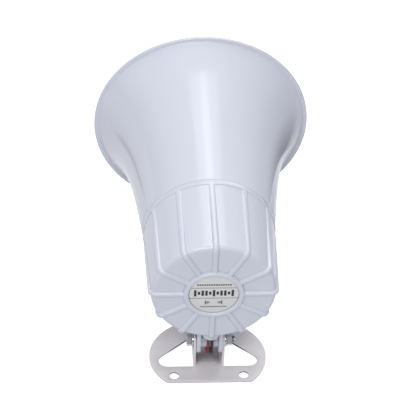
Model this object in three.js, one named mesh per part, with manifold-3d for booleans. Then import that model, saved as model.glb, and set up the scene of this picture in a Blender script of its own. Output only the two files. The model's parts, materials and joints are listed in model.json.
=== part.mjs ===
// A re-entrant horn siren on a folded steel bracket, as an assembly of separate solids.
// Millimetres, +Z up, +Y along the horn axis from the rear cover to the mouth.
// The origin is on the bracket's mounting face, straight below the tilt pivot.
import * as THREE from "three";
import { mergeVertices } from "three/addons/utils/BufferGeometryUtils.js";
import Module from "manifold-3d";

const wasm = await Module();
wasm.setup();

// ---- Driving dimensions ----

// Main lines. Inside the siren, y is the distance ahead of the rear cover's end face.
const PIVOT_HEIGHT = 21.5; // tilt bolt above the mounting face
const AXIS_HEIGHT = 81.5; // horn axis above the mounting face
const REAR_TO_PIVOT = 19.5; // rear end face to the pivot, along the horn axis
const PIVOT_Z = PIVOT_HEIGHT - AXIS_HEIGHT; // the pivot in the siren's own frame
const TOUCH = 0.1; // gap left between faces that touch
const OVERRUN = 1; // how far a cutting tool runs on past the material

// Facets round a full turn
const ROUND = 40;
const MEDIUM = 20;
const SMALL = 10;

// Bracket: one blank of sheet, two ears folded up out of its windows
const SHEET = 1.5;
const PLATE_HALF_WIDTH = 39.4;
const PLATE_HALF_LENGTH = 34;
const PLATE_CENTRE_Y = 4.3;
const PLATE_EDGE_Y = -19.6; // the straight edge, under the rear cover
const EAR_OUTER_X = 10.3;
const EAR_REACH = 17.2; // from the ear's outer face to the window's tip centre
const EAR_TIP_RADIUS = 5.7;
const EAR_FRONT_Y = 24; // where the sloping edge meets the fold
const BEND_RADIUS = 1; // inside the fold
const FIXING_HOLE_RADIUS = 3.25;
const FIXING_X = 23.3;
const FIXING_Y = -13.8;
const FRONT_FIXING_Y = 30.5;

// Tilt pivot: an M5 bolt through the ears and the cover's lugs
const BOLT_RADIUS = 2.5;
const BOLT_LENGTH = 29;
const BOLT_HOLE_RADIUS = 2.75;
const HEX_ACROSS_FLATS = 8;
const HEX_CORNER_RADIUS = HEX_ACROSS_FLATS / Math.sqrt(3);
const BOLT_HEAD = 3.5;
const NUT_HEIGHT = 3.8;
const WASHER = 1;
const WASHER_RADIUS = 5;
const LUG_OUTER_X = 8.6;
const LUG_THICKNESS = 2.7;
const LUG_RADIUS = 8.8;
const PIVOT_TUBE_RADIUS = 5.3;

// Rear cover
const WALL = 2.2;
const RIB_COUNT = 12;
const RIB_WIDTH = 3.4;
const RIB_TOP_Y = -0.15; // on the end face
const FACE_Y = 1.7; // the end face between the ribs
const PANEL_SHOULDER = 4; // radius from the end face to the side
const RIB_SHOULDER = 8;
const LABEL_SEAT_Y = 1;
const LABEL_RADIUS = 15.8;
const LABEL_THICKNESS = 0.45;
const BEAD_INNER = 16.1;
const BEAD_OUTER = 19.4;
const BEAD_TOP = -0.8;
const PANEL_REAR_RADIUS = 40.3;
const PANEL_FRONT_RADIUS = 43.3;
const RIB_REAR_RADIUS = 42.15;
const BAND_RADIUS = 44;
const BAND_Y = 58;
const COVER_LENGTH = 62;
const COVER_BORE = 39.9; // inside the open end
const OUTLET_RADIUS = 5.4; // half-round cable outlet under the cover
const OUTLET_Z = -42;
const OUTLET_Y = [5.6, 15.4];
const CABLE_Y = 10.5;
const CABLE_HOLE_RADIUS = 3.2;
const COVER_SCREW_RADIUS = 36.3; // pitch radius of the cover's screw bosses
const COVER_BOSS = 3.6;
const COVER_BOSS_START = 44;
const COVER_SCREW_HOLE = 2;
const BOARD_POST_RADIUS = 3;
const BOARD_POST_HOLE = 1.5;
const SEAL_DEPTH = 2; // the ring in the corner between cover and bell

// Horn bell
const BELL_REAR = COVER_LENGTH + TOUCH;
const FLARE_END = 172;
const MOUTH_RADIUS = 75;
const LIP = 2.8;
const BULKHEAD = 3;
const BULKHEAD_FRONT = BELL_REAR + BULKHEAD;
const THROAT_HOLE = 11;
const SPIGOT_INNER = 37; // the ring that plugs into the cover
const SPIGOT_OUTER = 38.6;
const SPIGOT_LENGTH = 5.6;
const CASE_SCREW_HOLE = 2.1;

// Inner horn
const THROAT_RADIUS = 8;
const THROAT_FLANGE_RADIUS = 22;
const THROAT_FLANGE = 2;
const TUBE_END = 108;
const TUBE_OUTER = 14.2;
const TUBE_WALL = 2;
const CUP_REAR = 80;
const CUP_RADIUS = 30;
const NOSE_START = 106;
const NOSE_LENGTH = 33;
const FIN_COUNT = 4;
const FIN_THICKNESS = 1.8;
const FIN_LENGTH = 16;

// Compression driver
const DRIVER_SCREW_RADIUS = 33;
const DRIVER_SCREW_SEAT = 57;
const MAGNET_RADIUS = 30;
const MAGNET_REAR = 33;
const MAGNET_FRONT = 48;
const STEEL_RADIUS = 29; // the yoke and the top plate
const YOKE_REAR = 27.7;
const YOKE_BORE = 4;
const POLE_RADIUS = 12.3;
const POLE_FRONT = 52.5;
const TOP_PLATE_FRONT = 53.3;
const TOP_PLATE_BORE = 13.9;
const COIL_INNER = 13.25;
const COIL_OUTER = 13.55;
const FORMER_RADIUS = 13.15; // the tube that carries the coil
const FORMER_REAR = 46;
const DIAPHRAGM_RADIUS = 18.2;
const DIAPHRAGM_Y = 54.2;
const FRAME_RADIUS = 36.6;
const GASKET = 1.5;

// Circuit board
const BOARD_WIDTH = 50;
const BOARD_HEIGHT = 38;
const BOARD_Y = 14;
const BOARD_THICKNESS = 1.6;
const BOARD_FRONT = BOARD_Y + BOARD_THICKNESS + TOUCH;
const BOARD_POSTS = [
  [-18, 13],
  [18, 13],
  [0, -12],
];
const PART_DEPTH = 9; // how far the larger parts stand off the board

// Lead wires
const WIRE_RADIUS = 0.95;
const WIRE_X = 1.25;
const WIRE_STEPS = 34;
const WIRE_SIDES = 3; // per quarter turn
const STRAND_RADIUS = 0.55;
const COIL_LEAD_RADIUS = 0.6;

// ---- Materials ----

function finish(color, roughness, metalness) {
  return new THREE.MeshStandardMaterial({ color, roughness, metalness });
}

const whitePlastic = finish(0xe4e6f0, 0.22, 0);
const labelFoil = finish(0xc9c8ca, 0.35, 0.6);
const stainless = finish(0xb7b3b6, 0.35, 1);
const zincSteel = finish(0xc4c6c8, 0.25, 1);
const ferrite = finish(0x2b2b2e, 0.7, 0.1);
const blackRubber = finish(0x1b1b1c, 0.8, 0);
const phenolic = finish(0xa8793c, 0.5, 0);
const copper = finish(0xb4683a, 0.3, 1);
const boardGreen = finish(0x1f6b3a, 0.5, 0);
const chipBlack = finish(0x17171a, 0.55, 0);
const sleeveBlue = finish(0x24366e, 0.35, 0);
const aluminium = finish(0xc8cacc, 0.4, 1);
const redPvc = finish(0xc02434, 0.4, 0);
const blackPvc = finish(0x161618, 0.45, 0);

// ---- Solids ----

function solid(geometry) {
  const bare = geometry.index ? geometry.toNonIndexed() : geometry.clone();
  bare.deleteAttribute("normal");
  bare.deleteAttribute("uv");
  const merged = mergeVertices(bare, 1e-4);
  const vertProperties = new Float32Array(merged.attributes.position.array);
  const triVerts = new Uint32Array(merged.index.array);
  return new wasm.Manifold(new wasm.Mesh({ numProp: 3, vertProperties, triVerts }));
}

function geometryOf(made) {
  const mesh = made.getMesh();
  const geometry = new THREE.BufferGeometry();
  geometry.setAttribute("position", new THREE.BufferAttribute(mesh.vertProperties, 3));
  geometry.setIndex(new THREE.BufferAttribute(mesh.triVerts, 1));
  return geometry;
}

// The first geometry joined with the added ones, then cut by the others.
function build(base, added = [], removed = []) {
  const joined = added.reduce((sum, part) => sum.add(solid(part)), solid(base));
  return geometryOf(removed.reduce((rest, part) => rest.subtract(solid(part)), joined));
}

// A closed outline of [radius, y] points turned round the Y axis.
function revolve(outline, segments = ROUND) {
  const points = outline.map(([radius, along]) => new THREE.Vector2(radius, along));
  if (THREE.ShapeUtils.area(points) < 0) points.reverse();
  if (points[0].x > 0) points.push(points[0].clone());
  return new THREE.LatheGeometry(points, segments);
}

function ring(inner, outer, from, to, segments = MEDIUM) {
  return revolve([[inner, from], [outer, from], [outer, to], [inner, to]], segments);
}

// A round bar along Y.
function rod(radius, from, to, segments = SMALL) {
  return revolve([[0, from], [radius, from], [radius, to], [0, to]], segments);
}

function hexagon(from, to) {
  const prism = new THREE.CylinderGeometry(HEX_CORNER_RADIUS, HEX_CORNER_RADIUS, to - from, 6);
  return prism.translate(0, (from + to) / 2, 0);
}

function block(width, length, height, x, y, z) {
  return new THREE.BoxGeometry(width, length, height).translate(x, y, z);
}

// Turns a piece made along Y so that it lies along X.
function acrossX(geometry) {
  return geometry.rotateZ(-Math.PI / 2);
}

// A shape drawn in the (y, z) plane, from x to x + thickness.
function upright(shape, x, thickness, curveSegments = SMALL) {
  const slab = new THREE.ExtrudeGeometry(shape, { depth: thickness, bevelEnabled: false, curveSegments });
  const axes = [new THREE.Vector3(0, 1, 0), new THREE.Vector3(0, 0, 1), new THREE.Vector3(1, 0, 0)];
  return slab.applyMatrix4(new THREE.Matrix4().makeBasis(...axes)).translate(x, 0, 0);
}

function mirrorX(geometry) {
  const flipped = geometry.index ? geometry.toNonIndexed() : geometry.clone();
  flipped.scale(-1, 1, 1);
  const position = flipped.attributes.position;
  const corner = new THREE.Vector3();
  const other = new THREE.Vector3();
  for (let i = 0; i < position.count; i += 3) {
    corner.fromBufferAttribute(position, i + 1);
    other.fromBufferAttribute(position, i + 2);
    position.setXYZ(i + 1, other.x, other.y, other.z);
    position.setXYZ(i + 2, corner.x, corner.y, corner.z);
  }
  return flipped;
}

// Copies of a piece spaced round the Y axis; clock angles run from +Z towards +X.
function aroundAxis(make, count, startDegrees = 0) {
  return Array.from({ length: count }, (_, i) => {
    const turn = THREE.MathUtils.degToRad(startDegrees + (360 * i) / count);
    return make().rotateY(turn);
  });
}

function wire(points, radius, steps, sides) {
  const path = new THREE.CatmullRomCurve3(points.map((p) => new THREE.Vector3(...p)));
  const section = new THREE.Shape().absarc(0, 0, radius, 0, 2 * Math.PI);
  return new THREE.ExtrudeGeometry(section, {
    steps,
    curveSegments: sides,
    extrudePath: path,
    bevelEnabled: false,
  });
}

function add(group, name, geometry, material) {
  geometry.computeVertexNormals();
  const mesh = new THREE.Mesh(geometry, material);
  mesh.name = name;
  group.add(mesh);
}

// ---- Bracket and pivot hardware ----

// The rounded triangle that is both the ear and the window it was folded out of.
// across is measured from the fold, and swap draws it with y along the first axis.
function earOutline(fold, tipCentre, swap) {
  const reach = tipCentre - fold;
  const slant = Math.hypot(reach, EAR_FRONT_Y);
  const toFoot = Math.atan2(EAR_FRONT_Y, -reach);
  const leave = toFoot - Math.acos(EAR_TIP_RADIUS / slant);
  const tip = new THREE.Path().absarc(tipCentre, 0, EAR_TIP_RADIUS, -Math.PI / 2, leave, false);
  const points = [
    new THREE.Vector2(fold, -EAR_TIP_RADIUS),
    ...tip.getPoints(SMALL),
    new THREE.Vector2(fold, EAR_FRONT_Y),
  ];
  return swap ? points.map((p) => new THREE.Vector2(p.y, p.x)).reverse() : points;
}

// A shape drawn on the mounting face, raised to the thickness of the sheet.
function sheetOf(shape, curveSegments = SMALL) {
  return new THREE.ExtrudeGeometry(shape, { depth: SHEET, bevelEnabled: false, curveSegments });
}

function flatBlank(fold) {
  const edgeAngle = Math.asin((PLATE_EDGE_Y - PLATE_CENTRE_Y) / PLATE_HALF_LENGTH);
  const outline = new THREE.Shape();
  outline.absellipse(
    0, PLATE_CENTRE_Y, PLATE_HALF_WIDTH, PLATE_HALF_LENGTH, edgeAngle, Math.PI - edgeAngle, false,
  );
  const window = sheetOf(new THREE.Shape(earOutline(fold, EAR_OUTER_X + EAR_REACH, false)));
  const drill = () => rod(FIXING_HOLE_RADIUS, -OVERRUN, SHEET + OVERRUN, MEDIUM).rotateX(Math.PI / 2);
  const places = [[-FIXING_X, FIXING_Y], [FIXING_X, FIXING_Y], [0, FRONT_FIXING_Y]];
  const holes = places.map(([x, y]) => drill().translate(x, y, 0));
  return build(sheetOf(outline, MEDIUM), [], [window, mirrorX(window), ...holes]);
}

function bracket() {
  const bendStart = EAR_OUTER_X - SHEET - BEND_RADIUS;
  const outer = BEND_RADIUS + SHEET;
  const lead = 0.6; // how far the fold runs on into the plate and the ear
  const fold = new THREE.Shape();
  fold.moveTo(bendStart - lead, 0);
  fold.lineTo(bendStart, 0);
  fold.absarc(bendStart, outer, outer, -Math.PI / 2, 0, false);
  fold.lineTo(EAR_OUTER_X, outer + lead);
  fold.lineTo(EAR_OUTER_X - SHEET, outer + lead);
  fold.absarc(bendStart, outer, BEND_RADIUS, 0, -Math.PI / 2, true);
  fold.lineTo(bendStart - lead, SHEET);
  const foldLength = EAR_FRONT_Y + EAR_TIP_RADIUS;
  const bend = new THREE.ExtrudeGeometry(fold, { depth: foldLength, bevelEnabled: false, curveSegments: 3 });
  bend.rotateX(Math.PI / 2).translate(0, EAR_FRONT_Y, 0);

  const earShape = new THREE.Shape(earOutline(outer, PIVOT_HEIGHT, true));
  const ear = upright(earShape, EAR_OUTER_X - SHEET, SHEET);
  const folds = [bend, ear, mirrorX(bend), mirrorX(ear)];
  const reach = EAR_OUTER_X + OVERRUN;
  const boltHoles = acrossX(rod(BOLT_HOLE_RADIUS, -reach, reach, MEDIUM)).translate(0, 0, PIVOT_HEIGHT);
  return build(flatBlank(bendStart), folds, [boltHoles]);
}

function pivotBolt() {
  const underHead = EAR_OUTER_X + WASHER + 2 * TOUCH;
  const tip = BOLT_LENGTH - underHead;
  const chamfer = 0.6;
  const root = -underHead - 1; // inside the head
  const shank = revolve([
    [0, root],
    [BOLT_RADIUS, root],
    [BOLT_RADIUS, tip - chamfer],
    [BOLT_RADIUS - chamfer, tip],
    [0, tip],
  ], MEDIUM);
  const head = hexagon(-underHead - BOLT_HEAD, -underHead);
  return acrossX(build(head, [shank])).translate(0, 0, PIVOT_HEIGHT);
}

function addPivotHardware(group) {
  const washerFace = EAR_OUTER_X + TOUCH;
  const washer = () => ring(BOLT_HOLE_RADIUS, WASHER_RADIUS, washerFace, washerFace + WASHER);
  const nutFace = washerFace + WASHER + TOUCH;
  const nutEnd = nutFace + NUT_HEIGHT;
  const nutBore = rod(BOLT_HOLE_RADIUS, nutFace - OVERRUN, nutEnd + OVERRUN, MEDIUM);
  const nut = build(hexagon(nutFace, nutEnd), [], [nutBore]);
  const left = acrossX(washer().rotateZ(Math.PI));
  add(group, "pivot_bolt", pivotBolt(), zincSteel);
  add(group, "washer_left", left.translate(0, 0, PIVOT_HEIGHT), zincSteel);
  add(group, "washer_right", acrossX(washer()).translate(0, 0, PIVOT_HEIGHT), zincSteel);
  add(group, "pivot_nut", acrossX(nut).translate(0, 0, PIVOT_HEIGHT), zincSteel);
}

// ---- Rear cover ----

// Points of the quarter turn from the end face to the side, for a corner at radius, y.
function shoulder(radius, y, turn, steps) {
  return Array.from({ length: steps + 1 }, (_, i) => {
    const angle = (Math.PI / 2) * (i / steps);
    return [radius - turn + turn * Math.sin(angle), y + turn - turn * Math.cos(angle)];
  });
}

function coverShell() {
  const beadEase = 0.6;
  const innerTurn = PANEL_SHOULDER - WALL;
  return revolve([
    [0, LABEL_SEAT_Y],
    [BEAD_INNER, LABEL_SEAT_Y],
    [BEAD_INNER + beadEase, BEAD_TOP],
    [BEAD_OUTER - beadEase, BEAD_TOP],
    [BEAD_OUTER, FACE_Y],
    ...shoulder(PANEL_REAR_RADIUS, FACE_Y, PANEL_SHOULDER, 3),
    [PANEL_FRONT_RADIUS, BAND_Y - 0.4],
    [BAND_RADIUS - 0.1, BAND_Y],
    [BAND_RADIUS, COVER_LENGTH],
    [COVER_BORE, COVER_LENGTH],
    ...shoulder(PANEL_REAR_RADIUS - WALL, FACE_Y + WALL, innerTurn, 1).reverse(),
    [0, FACE_Y + WALL],
  ]);
}

// One rib: over the end face, round the shoulder and along the side to the front band.
function rib() {
  const root = 0.9; // how far its foot is sunk in the wall
  const start = BEAD_OUTER - 0.8;
  const side = new THREE.Shape();
  side.moveTo(start, RIB_TOP_Y);
  side.absarc(
    RIB_REAR_RADIUS - RIB_SHOULDER, RIB_TOP_Y + RIB_SHOULDER, RIB_SHOULDER, -Math.PI / 2, 0, false,
  );
  side.lineTo(BAND_RADIUS - 0.1, BAND_Y);
  side.lineTo(BAND_RADIUS - 0.1, BAND_Y + 1);
  side.lineTo(PANEL_FRONT_RADIUS - root, BAND_Y + 1);
  side.lineTo(PANEL_REAR_RADIUS - root, FACE_Y + PANEL_SHOULDER);
  side.lineTo(PANEL_REAR_RADIUS - PANEL_SHOULDER, FACE_Y + root);
  side.lineTo(start, FACE_Y + root);
  const slab = new THREE.ExtrudeGeometry(side, { depth: RIB_WIDTH, bevelEnabled: false, curveSegments: 4 });
  return slab.translate(0, 0, -RIB_WIDTH / 2);
}

// The two lugs that the pivot bolt passes through, and the tube between them.
function lug(x) {
  const plate = new THREE.Shape();
  const wallZ = WALL / 2 - PANEL_REAR_RADIUS; // inside the cover's wall
  plate.moveTo(REAR_TO_PIVOT - LUG_RADIUS, wallZ);
  plate.lineTo(REAR_TO_PIVOT - LUG_RADIUS, PIVOT_Z);
  plate.absarc(REAR_TO_PIVOT, PIVOT_Z, LUG_RADIUS, Math.PI, 2 * Math.PI, false);
  plate.lineTo(REAR_TO_PIVOT + LUG_RADIUS, wallZ);
  return upright(plate, x, LUG_THICKNESS);
}

function pivotBar(radius, halfLength) {
  return acrossX(rod(radius, -halfLength, halfLength, MEDIUM)).translate(0, REAR_TO_PIVOT, PIVOT_Z);
}

// A round bar along Y whose centre is at x, z.
function barAt(radius, from, to, x, z, segments = SMALL) {
  return rod(radius, from, to, segments).translate(x, 0, z);
}

function rearCover() {
  const lugs = [lug(-LUG_OUTER_X), lug(LUG_OUTER_X - LUG_THICKNESS)];
  const tube = pivotBar(PIVOT_TUBE_RADIUS, LUG_OUTER_X - LUG_THICKNESS + 0.3);
  const outlet = barAt(OUTLET_RADIUS, ...OUTLET_Y, 0, OUTLET_Z, MEDIUM);
  const bossEnd = COVER_LENGTH - SEAL_DEPTH - TOUCH;
  const posts = BOARD_POSTS.map(([x, z]) => barAt(BOARD_POST_RADIUS, FACE_Y + 1, BOARD_Y - TOUCH, x, z));
  const bosses = aroundAxis(
    () => barAt(COVER_BOSS, COVER_BOSS_START, bossEnd, 0, COVER_SCREW_RADIUS), 4, 45,
  );
  const ribs = aroundAxis(rib, RIB_COUNT);

  const outletFoot = OUTLET_Z - OUTLET_RADIUS;
  const cableHole = rod(CABLE_HOLE_RADIUS, outletFoot - OVERRUN, OUTLET_Z + 8, MEDIUM);
  cableHole.rotateX(Math.PI / 2).translate(0, CABLE_Y, 0);
  const postHoles = BOARD_POSTS.map(
    ([x, z]) => barAt(BOARD_POST_HOLE, BOARD_Y - 6.5, BOARD_Y + OVERRUN, x, z),
  );
  const screwHoles = aroundAxis(
    () => barAt(COVER_SCREW_HOLE, COVER_BOSS_START + 4, bossEnd + OVERRUN, 0, COVER_SCREW_RADIUS), 4, 45,
  );
  const holes = [pivotBar(BOLT_HOLE_RADIUS, LUG_OUTER_X + OVERRUN), cableHole, ...postHoles, ...screwHoles];
  return build(coverShell(), [...ribs, ...lugs, tube, outlet, ...posts, ...bosses], holes);
}

function cableGrommet() {
  const bore = 2.4;
  const foot = OUTLET_Z - OUTLET_RADIUS;
  const flange = ring(bore, CABLE_HOLE_RADIUS + 0.9, foot - 1.2, foot - TOUCH);
  const neck = ring(bore, CABLE_HOLE_RADIUS - 0.3, foot - 1, OUTLET_Z + 3.5);
  return build(flange, [neck]).rotateX(Math.PI / 2).translate(0, CABLE_Y, 0);
}

// ---- Horn bell ----

// The outside of the bell: a slow taper that turns into a flare near the mouth.
function hornRadius(y) {
  const t = (y - COVER_LENGTH) / (FLARE_END - COVER_LENGTH);
  return BAND_RADIUS + 12.5 * t + 15.5 * t ** 4;
}

function hornBell() {
  const stations = 9;
  const outside = [];
  const inside = [];
  for (let i = 0; i <= stations; i += 1) {
    // Stations crowd towards the mouth, where the flare bends most.
    const y = BELL_REAR + (FLARE_END - BELL_REAR) * Math.sin((Math.PI / 2) * (i / stations));
    outside.push([hornRadius(y), y]);
    inside.push([hornRadius(y) - WALL, y]);
  }
  const lipFront = FLARE_END + LIP;
  const lipEase = 0.6;
  const shell = revolve([
    ...outside,
    [MOUTH_RADIUS - lipEase, FLARE_END + 0.2],
    [MOUTH_RADIUS, FLARE_END + 0.2 + lipEase],
    [MOUTH_RADIUS, lipFront - lipEase],
    [MOUTH_RADIUS - lipEase, lipFront],
    [hornRadius(FLARE_END) - WALL + 1.6, lipFront],
    ...inside.filter(([, y]) => y > BULKHEAD_FRONT + 1).reverse(),
    [hornRadius(BULKHEAD_FRONT) - WALL, BULKHEAD_FRONT],
    [THROAT_HOLE, BULKHEAD_FRONT],
    [THROAT_HOLE, BELL_REAR],
  ]);
  const spigotRear = BELL_REAR - SPIGOT_LENGTH;
  const spigot = ring(SPIGOT_INNER, SPIGOT_OUTER, spigotRear, BELL_REAR + 0.5, ROUND);
  const notchEnd = BELL_REAR - 0.02; // a hair short of the bulkhead
  const notches = aroundAxis(
    () => barAt(COVER_BOSS + 0.5, spigotRear - OVERRUN, notchEnd, 0, COVER_SCREW_RADIUS), 4, 45,
  );
  const hole = (radius) => barAt(CASE_SCREW_HOLE, BELL_REAR - OVERRUN, BULKHEAD_FRONT + OVERRUN, 0, radius);
  const coverHoles = aroundAxis(() => hole(COVER_SCREW_RADIUS), 4, 45);
  const driverHoles = aroundAxis(() => hole(DRIVER_SCREW_RADIUS), 4);
  return build(shell, [spigot], [...notches, ...coverHoles, ...driverHoles]);
}

// ---- Inner horn ----

function throatTube() {
  const spigot = THROAT_HOLE - 0.4;
  const seat = BULKHEAD_FRONT + TOUCH;
  return revolve([
    [THROAT_RADIUS, BELL_REAR],
    [spigot, BELL_REAR],
    [spigot, seat],
    [THROAT_FLANGE_RADIUS, seat],
    [THROAT_FLANGE_RADIUS, seat + THROAT_FLANGE],
    [TUBE_OUTER - 2, seat + THROAT_FLANGE + 1.5],
    [TUBE_OUTER, CUP_REAR],
    [TUBE_OUTER, TUBE_END],
    [TUBE_OUTER - TUBE_WALL, TUBE_END],
  ], MEDIUM);
}

// The cup that turns the sound back, with its fins and the sleeve that sits on the throat tube.
function reflector() {
  const wall = 2;
  const nose = (radius, length) => {
    const steps = 5;
    return Array.from({ length: steps + 1 }, (_, i) => {
      const turn = (Math.PI / 2) * (i / steps);
      return [i === steps ? 0 : radius * Math.cos(turn), NOSE_START + length * Math.sin(turn)];
    });
  };
  const cup = revolve([
    [CUP_RADIUS - wall, CUP_REAR],
    [CUP_RADIUS, CUP_REAR],
    ...nose(CUP_RADIUS - 0.6, NOSE_LENGTH),
    ...nose(CUP_RADIUS - 0.6 - wall, NOSE_LENGTH - wall).reverse(),
  ], 28);
  const sleeve = ring(TUBE_OUTER + 0.2, TUBE_OUTER + wall, CUP_REAR + 2, CUP_REAR + 22);
  const finFrom = TUBE_OUTER + 1;
  const finTo = CUP_RADIUS - 1;
  const finY = CUP_REAR + 4 + FIN_LENGTH / 2;
  const fins = aroundAxis(
    () => block(FIN_THICKNESS, FIN_LENGTH, finTo - finFrom, 0, finY, (finFrom + finTo) / 2), FIN_COUNT, 45,
  );
  return build(cup, [sleeve, ...fins]);
}

// ---- Compression driver ----

function driverYoke() {
  const plateFront = MAGNET_REAR - TOUCH;
  return revolve([
    [YOKE_BORE, YOKE_REAR],
    [STEEL_RADIUS, YOKE_REAR],
    [STEEL_RADIUS, plateFront],
    [POLE_RADIUS, plateFront],
    [POLE_RADIUS, POLE_FRONT],
    [YOKE_BORE, POLE_FRONT],
  ], MEDIUM);
}

// The moving dome, its rim and the tube that carries the coil.
function diaphragm() {
  const film = 0.35;
  const domeHeight = 2.8;
  const dome = (base) => [12, 8, 4].map((r) => [r, base + domeHeight * (1 - (r / FORMER_RADIUS) ** 2)]);
  const front = DIAPHRAGM_Y + film;
  return revolve([
    [FORMER_RADIUS, FORMER_REAR],
    [FORMER_RADIUS, DIAPHRAGM_Y],
    [DIAPHRAGM_RADIUS, DIAPHRAGM_Y],
    [DIAPHRAGM_RADIUS, front],
    [FORMER_RADIUS, front],
    ...dome(front),
    [0, front + domeHeight],
    [0, DIAPHRAGM_Y + domeHeight],
    ...dome(DIAPHRAGM_Y).reverse(),
    [FORMER_RADIUS - 0.4, DIAPHRAGM_Y],
    [FORMER_RADIUS - 0.4, FORMER_REAR],
  ], MEDIUM);
}

function diaphragmFrame() {
  const rear = TOP_PLATE_FRONT + 0.4;
  const front = BELL_REAR - TOUCH - GASKET - 0.2;
  const mouth = 8.5;
  const pocket = DIAPHRAGM_RADIUS + 0.8;
  const disc = revolve([
    [mouth, front],
    [FRAME_RADIUS, front],
    [FRAME_RADIUS, DRIVER_SCREW_SEAT],
    [STEEL_RADIUS, DRIVER_SCREW_SEAT],
    [STEEL_RADIUS, rear],
    [pocket, rear],
    [pocket, 56.3],
    [mouth, 58],
  ], MEDIUM);
  const cut = (radius, place) => barAt(radius, rear - OVERRUN, front + OVERRUN, 0, place);
  const notches = aroundAxis(() => cut(COVER_BOSS + 0.6, COVER_SCREW_RADIUS), 4, 45);
  const screwHoles = aroundAxis(() => cut(CASE_SCREW_HOLE, DRIVER_SCREW_RADIUS), 4);
  return build(disc, [], [...notches, ...screwHoles]);
}

// A pan-head screw along Y: the head is on the side that direction points away from.
function screw(headRadius, headHeight, shankRadius, length) {
  return revolve([
    [0, -headHeight],
    [headRadius * 0.6, -headHeight],
    [headRadius, -headHeight * 0.5],
    [headRadius, 0],
    [shankRadius, 0],
    [shankRadius, length - shankRadius],
    [0, length],
  ], SMALL);
}

function addDriver(group) {
  const topPlate = ring(TOP_PLATE_BORE, STEEL_RADIUS, MAGNET_FRONT + TOUCH, TOP_PLATE_FRONT);
  const gasketFront = BELL_REAR - TOUCH;
  add(group, "driver_yoke", driverYoke(), zincSteel);
  add(group, "driver_magnet", ring(14.5, MAGNET_RADIUS, MAGNET_REAR, MAGNET_FRONT), ferrite);
  add(group, "driver_top_plate", topPlate, zincSteel);
  add(group, "diaphragm_frame", diaphragmFrame(), aluminium);
  add(group, "driver_gasket", ring(12, STEEL_RADIUS, gasketFront - GASKET, gasketFront), blackRubber);
  add(group, "diaphragm", diaphragm(), phenolic);
  add(group, "voice_coil", ring(COIL_INNER, COIL_OUTER, FORMER_REAR + 1, FORMER_REAR + 6), copper);
  const screws = aroundAxis(
    () => screw(3, 2.4, 1.6, 7.5).translate(0, DRIVER_SCREW_SEAT - TOUCH, DRIVER_SCREW_RADIUS), 4,
  );
  screws.forEach((made, i) => add(group, `driver_screw_${i + 1}`, made, zincSteel));
}

function addCoverScrews(group) {
  const seat = BULKHEAD_FRONT + TOUCH;
  const screws = aroundAxis(
    () => screw(3.2, 2.4, 1.7, 15).rotateX(Math.PI).translate(0, seat, COVER_SCREW_RADIUS), 4, 45,
  );
  screws.forEach((made, i) => add(group, `cover_screw_${i + 1}`, made, zincSteel));
}

// ---- Circuit board ----

function board() {
  const slab = block(BOARD_WIDTH, BOARD_THICKNESS, BOARD_HEIGHT, 0, BOARD_Y + BOARD_THICKNESS / 2, 0);
  const holes = BOARD_POSTS.map(
    ([x, z]) => barAt(BOARD_POST_HOLE + 0.1, BOARD_Y - OVERRUN, BOARD_FRONT + OVERRUN, x, z),
  );
  return build(slab, [], holes);
}

// A block that stands on the front of the board.
function mounted(width, depth, height, x, z) {
  return block(width, depth, height, x, BOARD_FRONT + depth / 2, z);
}

function heatSink() {
  const fins = [-7.2, -2.4, 2.4, 7.2].map((x) => mounted(1.2, PART_DEPTH, 6, x, 2.5));
  return build(mounted(16, PART_DEPTH, 1.6, 0, 0), fins).translate(8, 0, 6);
}

function addCircuit(group) {
  add(group, "circuit_board", board(), boardGreen);
  add(group, "tone_chip", mounted(9.6, 3.4, 6.4, -8, 2), chipBlack);
  add(group, "capacitor", barAt(4, BOARD_FRONT, BOARD_FRONT + 10, -15, -11, MEDIUM), sleeveBlue);
  add(group, "heat_sink", heatSink(), aluminium);
  add(group, "power_transistor", mounted(10, PART_DEPTH, 4.4, 8, 2.9), chipBlack);
  add(group, "coupling_coil", mounted(11, PART_DEPTH, 10, 15, -10), copper);
  BOARD_POSTS.forEach(([x, z], i) => {
    const made = screw(2.6, 1.8, 1.2, 8).rotateX(Math.PI).translate(x, BOARD_FRONT, z);
    add(group, `board_screw_${i + 1}`, made, zincSteel);
  });
}

// ---- Wires ----

// From the board, down through the outlet, under the pivot tube and forward below the horn.
function leadWire(side) {
  const x = side * WIRE_X;
  return wire([
    [x, BOARD_Y - 1.2, -16.4],
    [x, CABLE_Y, -21],
    [x, CABLE_Y, -34],
    [x, CABLE_Y, -47],
    [x, CABLE_Y - 0.4, PIVOT_Z + 3.5],
    [x, CABLE_Y + 2.1, PIVOT_Z - 5.5],
    [x * 1.1, REAR_TO_PIVOT + 1.5, PIVOT_Z - PIVOT_TUBE_RADIUS - 3.8],
    [x * 1.3, REAR_TO_PIVOT + 13.5, PIVOT_Z - 2.5],
    [x * 1.5, 48, -54.5],
    [x * 1.8, 66, -51.5],
    [x * 2.2, 84, -53.5],
    [x * 3, 100, -57.5],
  ], WIRE_RADIUS, WIRE_STEPS, WIRE_SIDES);
}

// The bared, tinned strands at the wire's free end.
function strippedEnd(side) {
  const x = side * WIRE_X;
  return wire([[x * 3.02, 100.4, -57.6], [x * 3.3, 105, -58.8]], STRAND_RADIUS, 2, WIRE_SIDES);
}

// From the board to the driver, past the side of the magnet.
function coilLead(side) {
  return wire([
    [side * 22, BOARD_FRONT + 0.3, 4],
    [side * 26, 22, 4.5],
    [side * 33.5, 29, 5],
    [side * 33.5, 45, 5],
    [side * 31.5, 53, 4.5],
  ], COIL_LEAD_RADIUS, 14, WIRE_SIDES);
}

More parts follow.
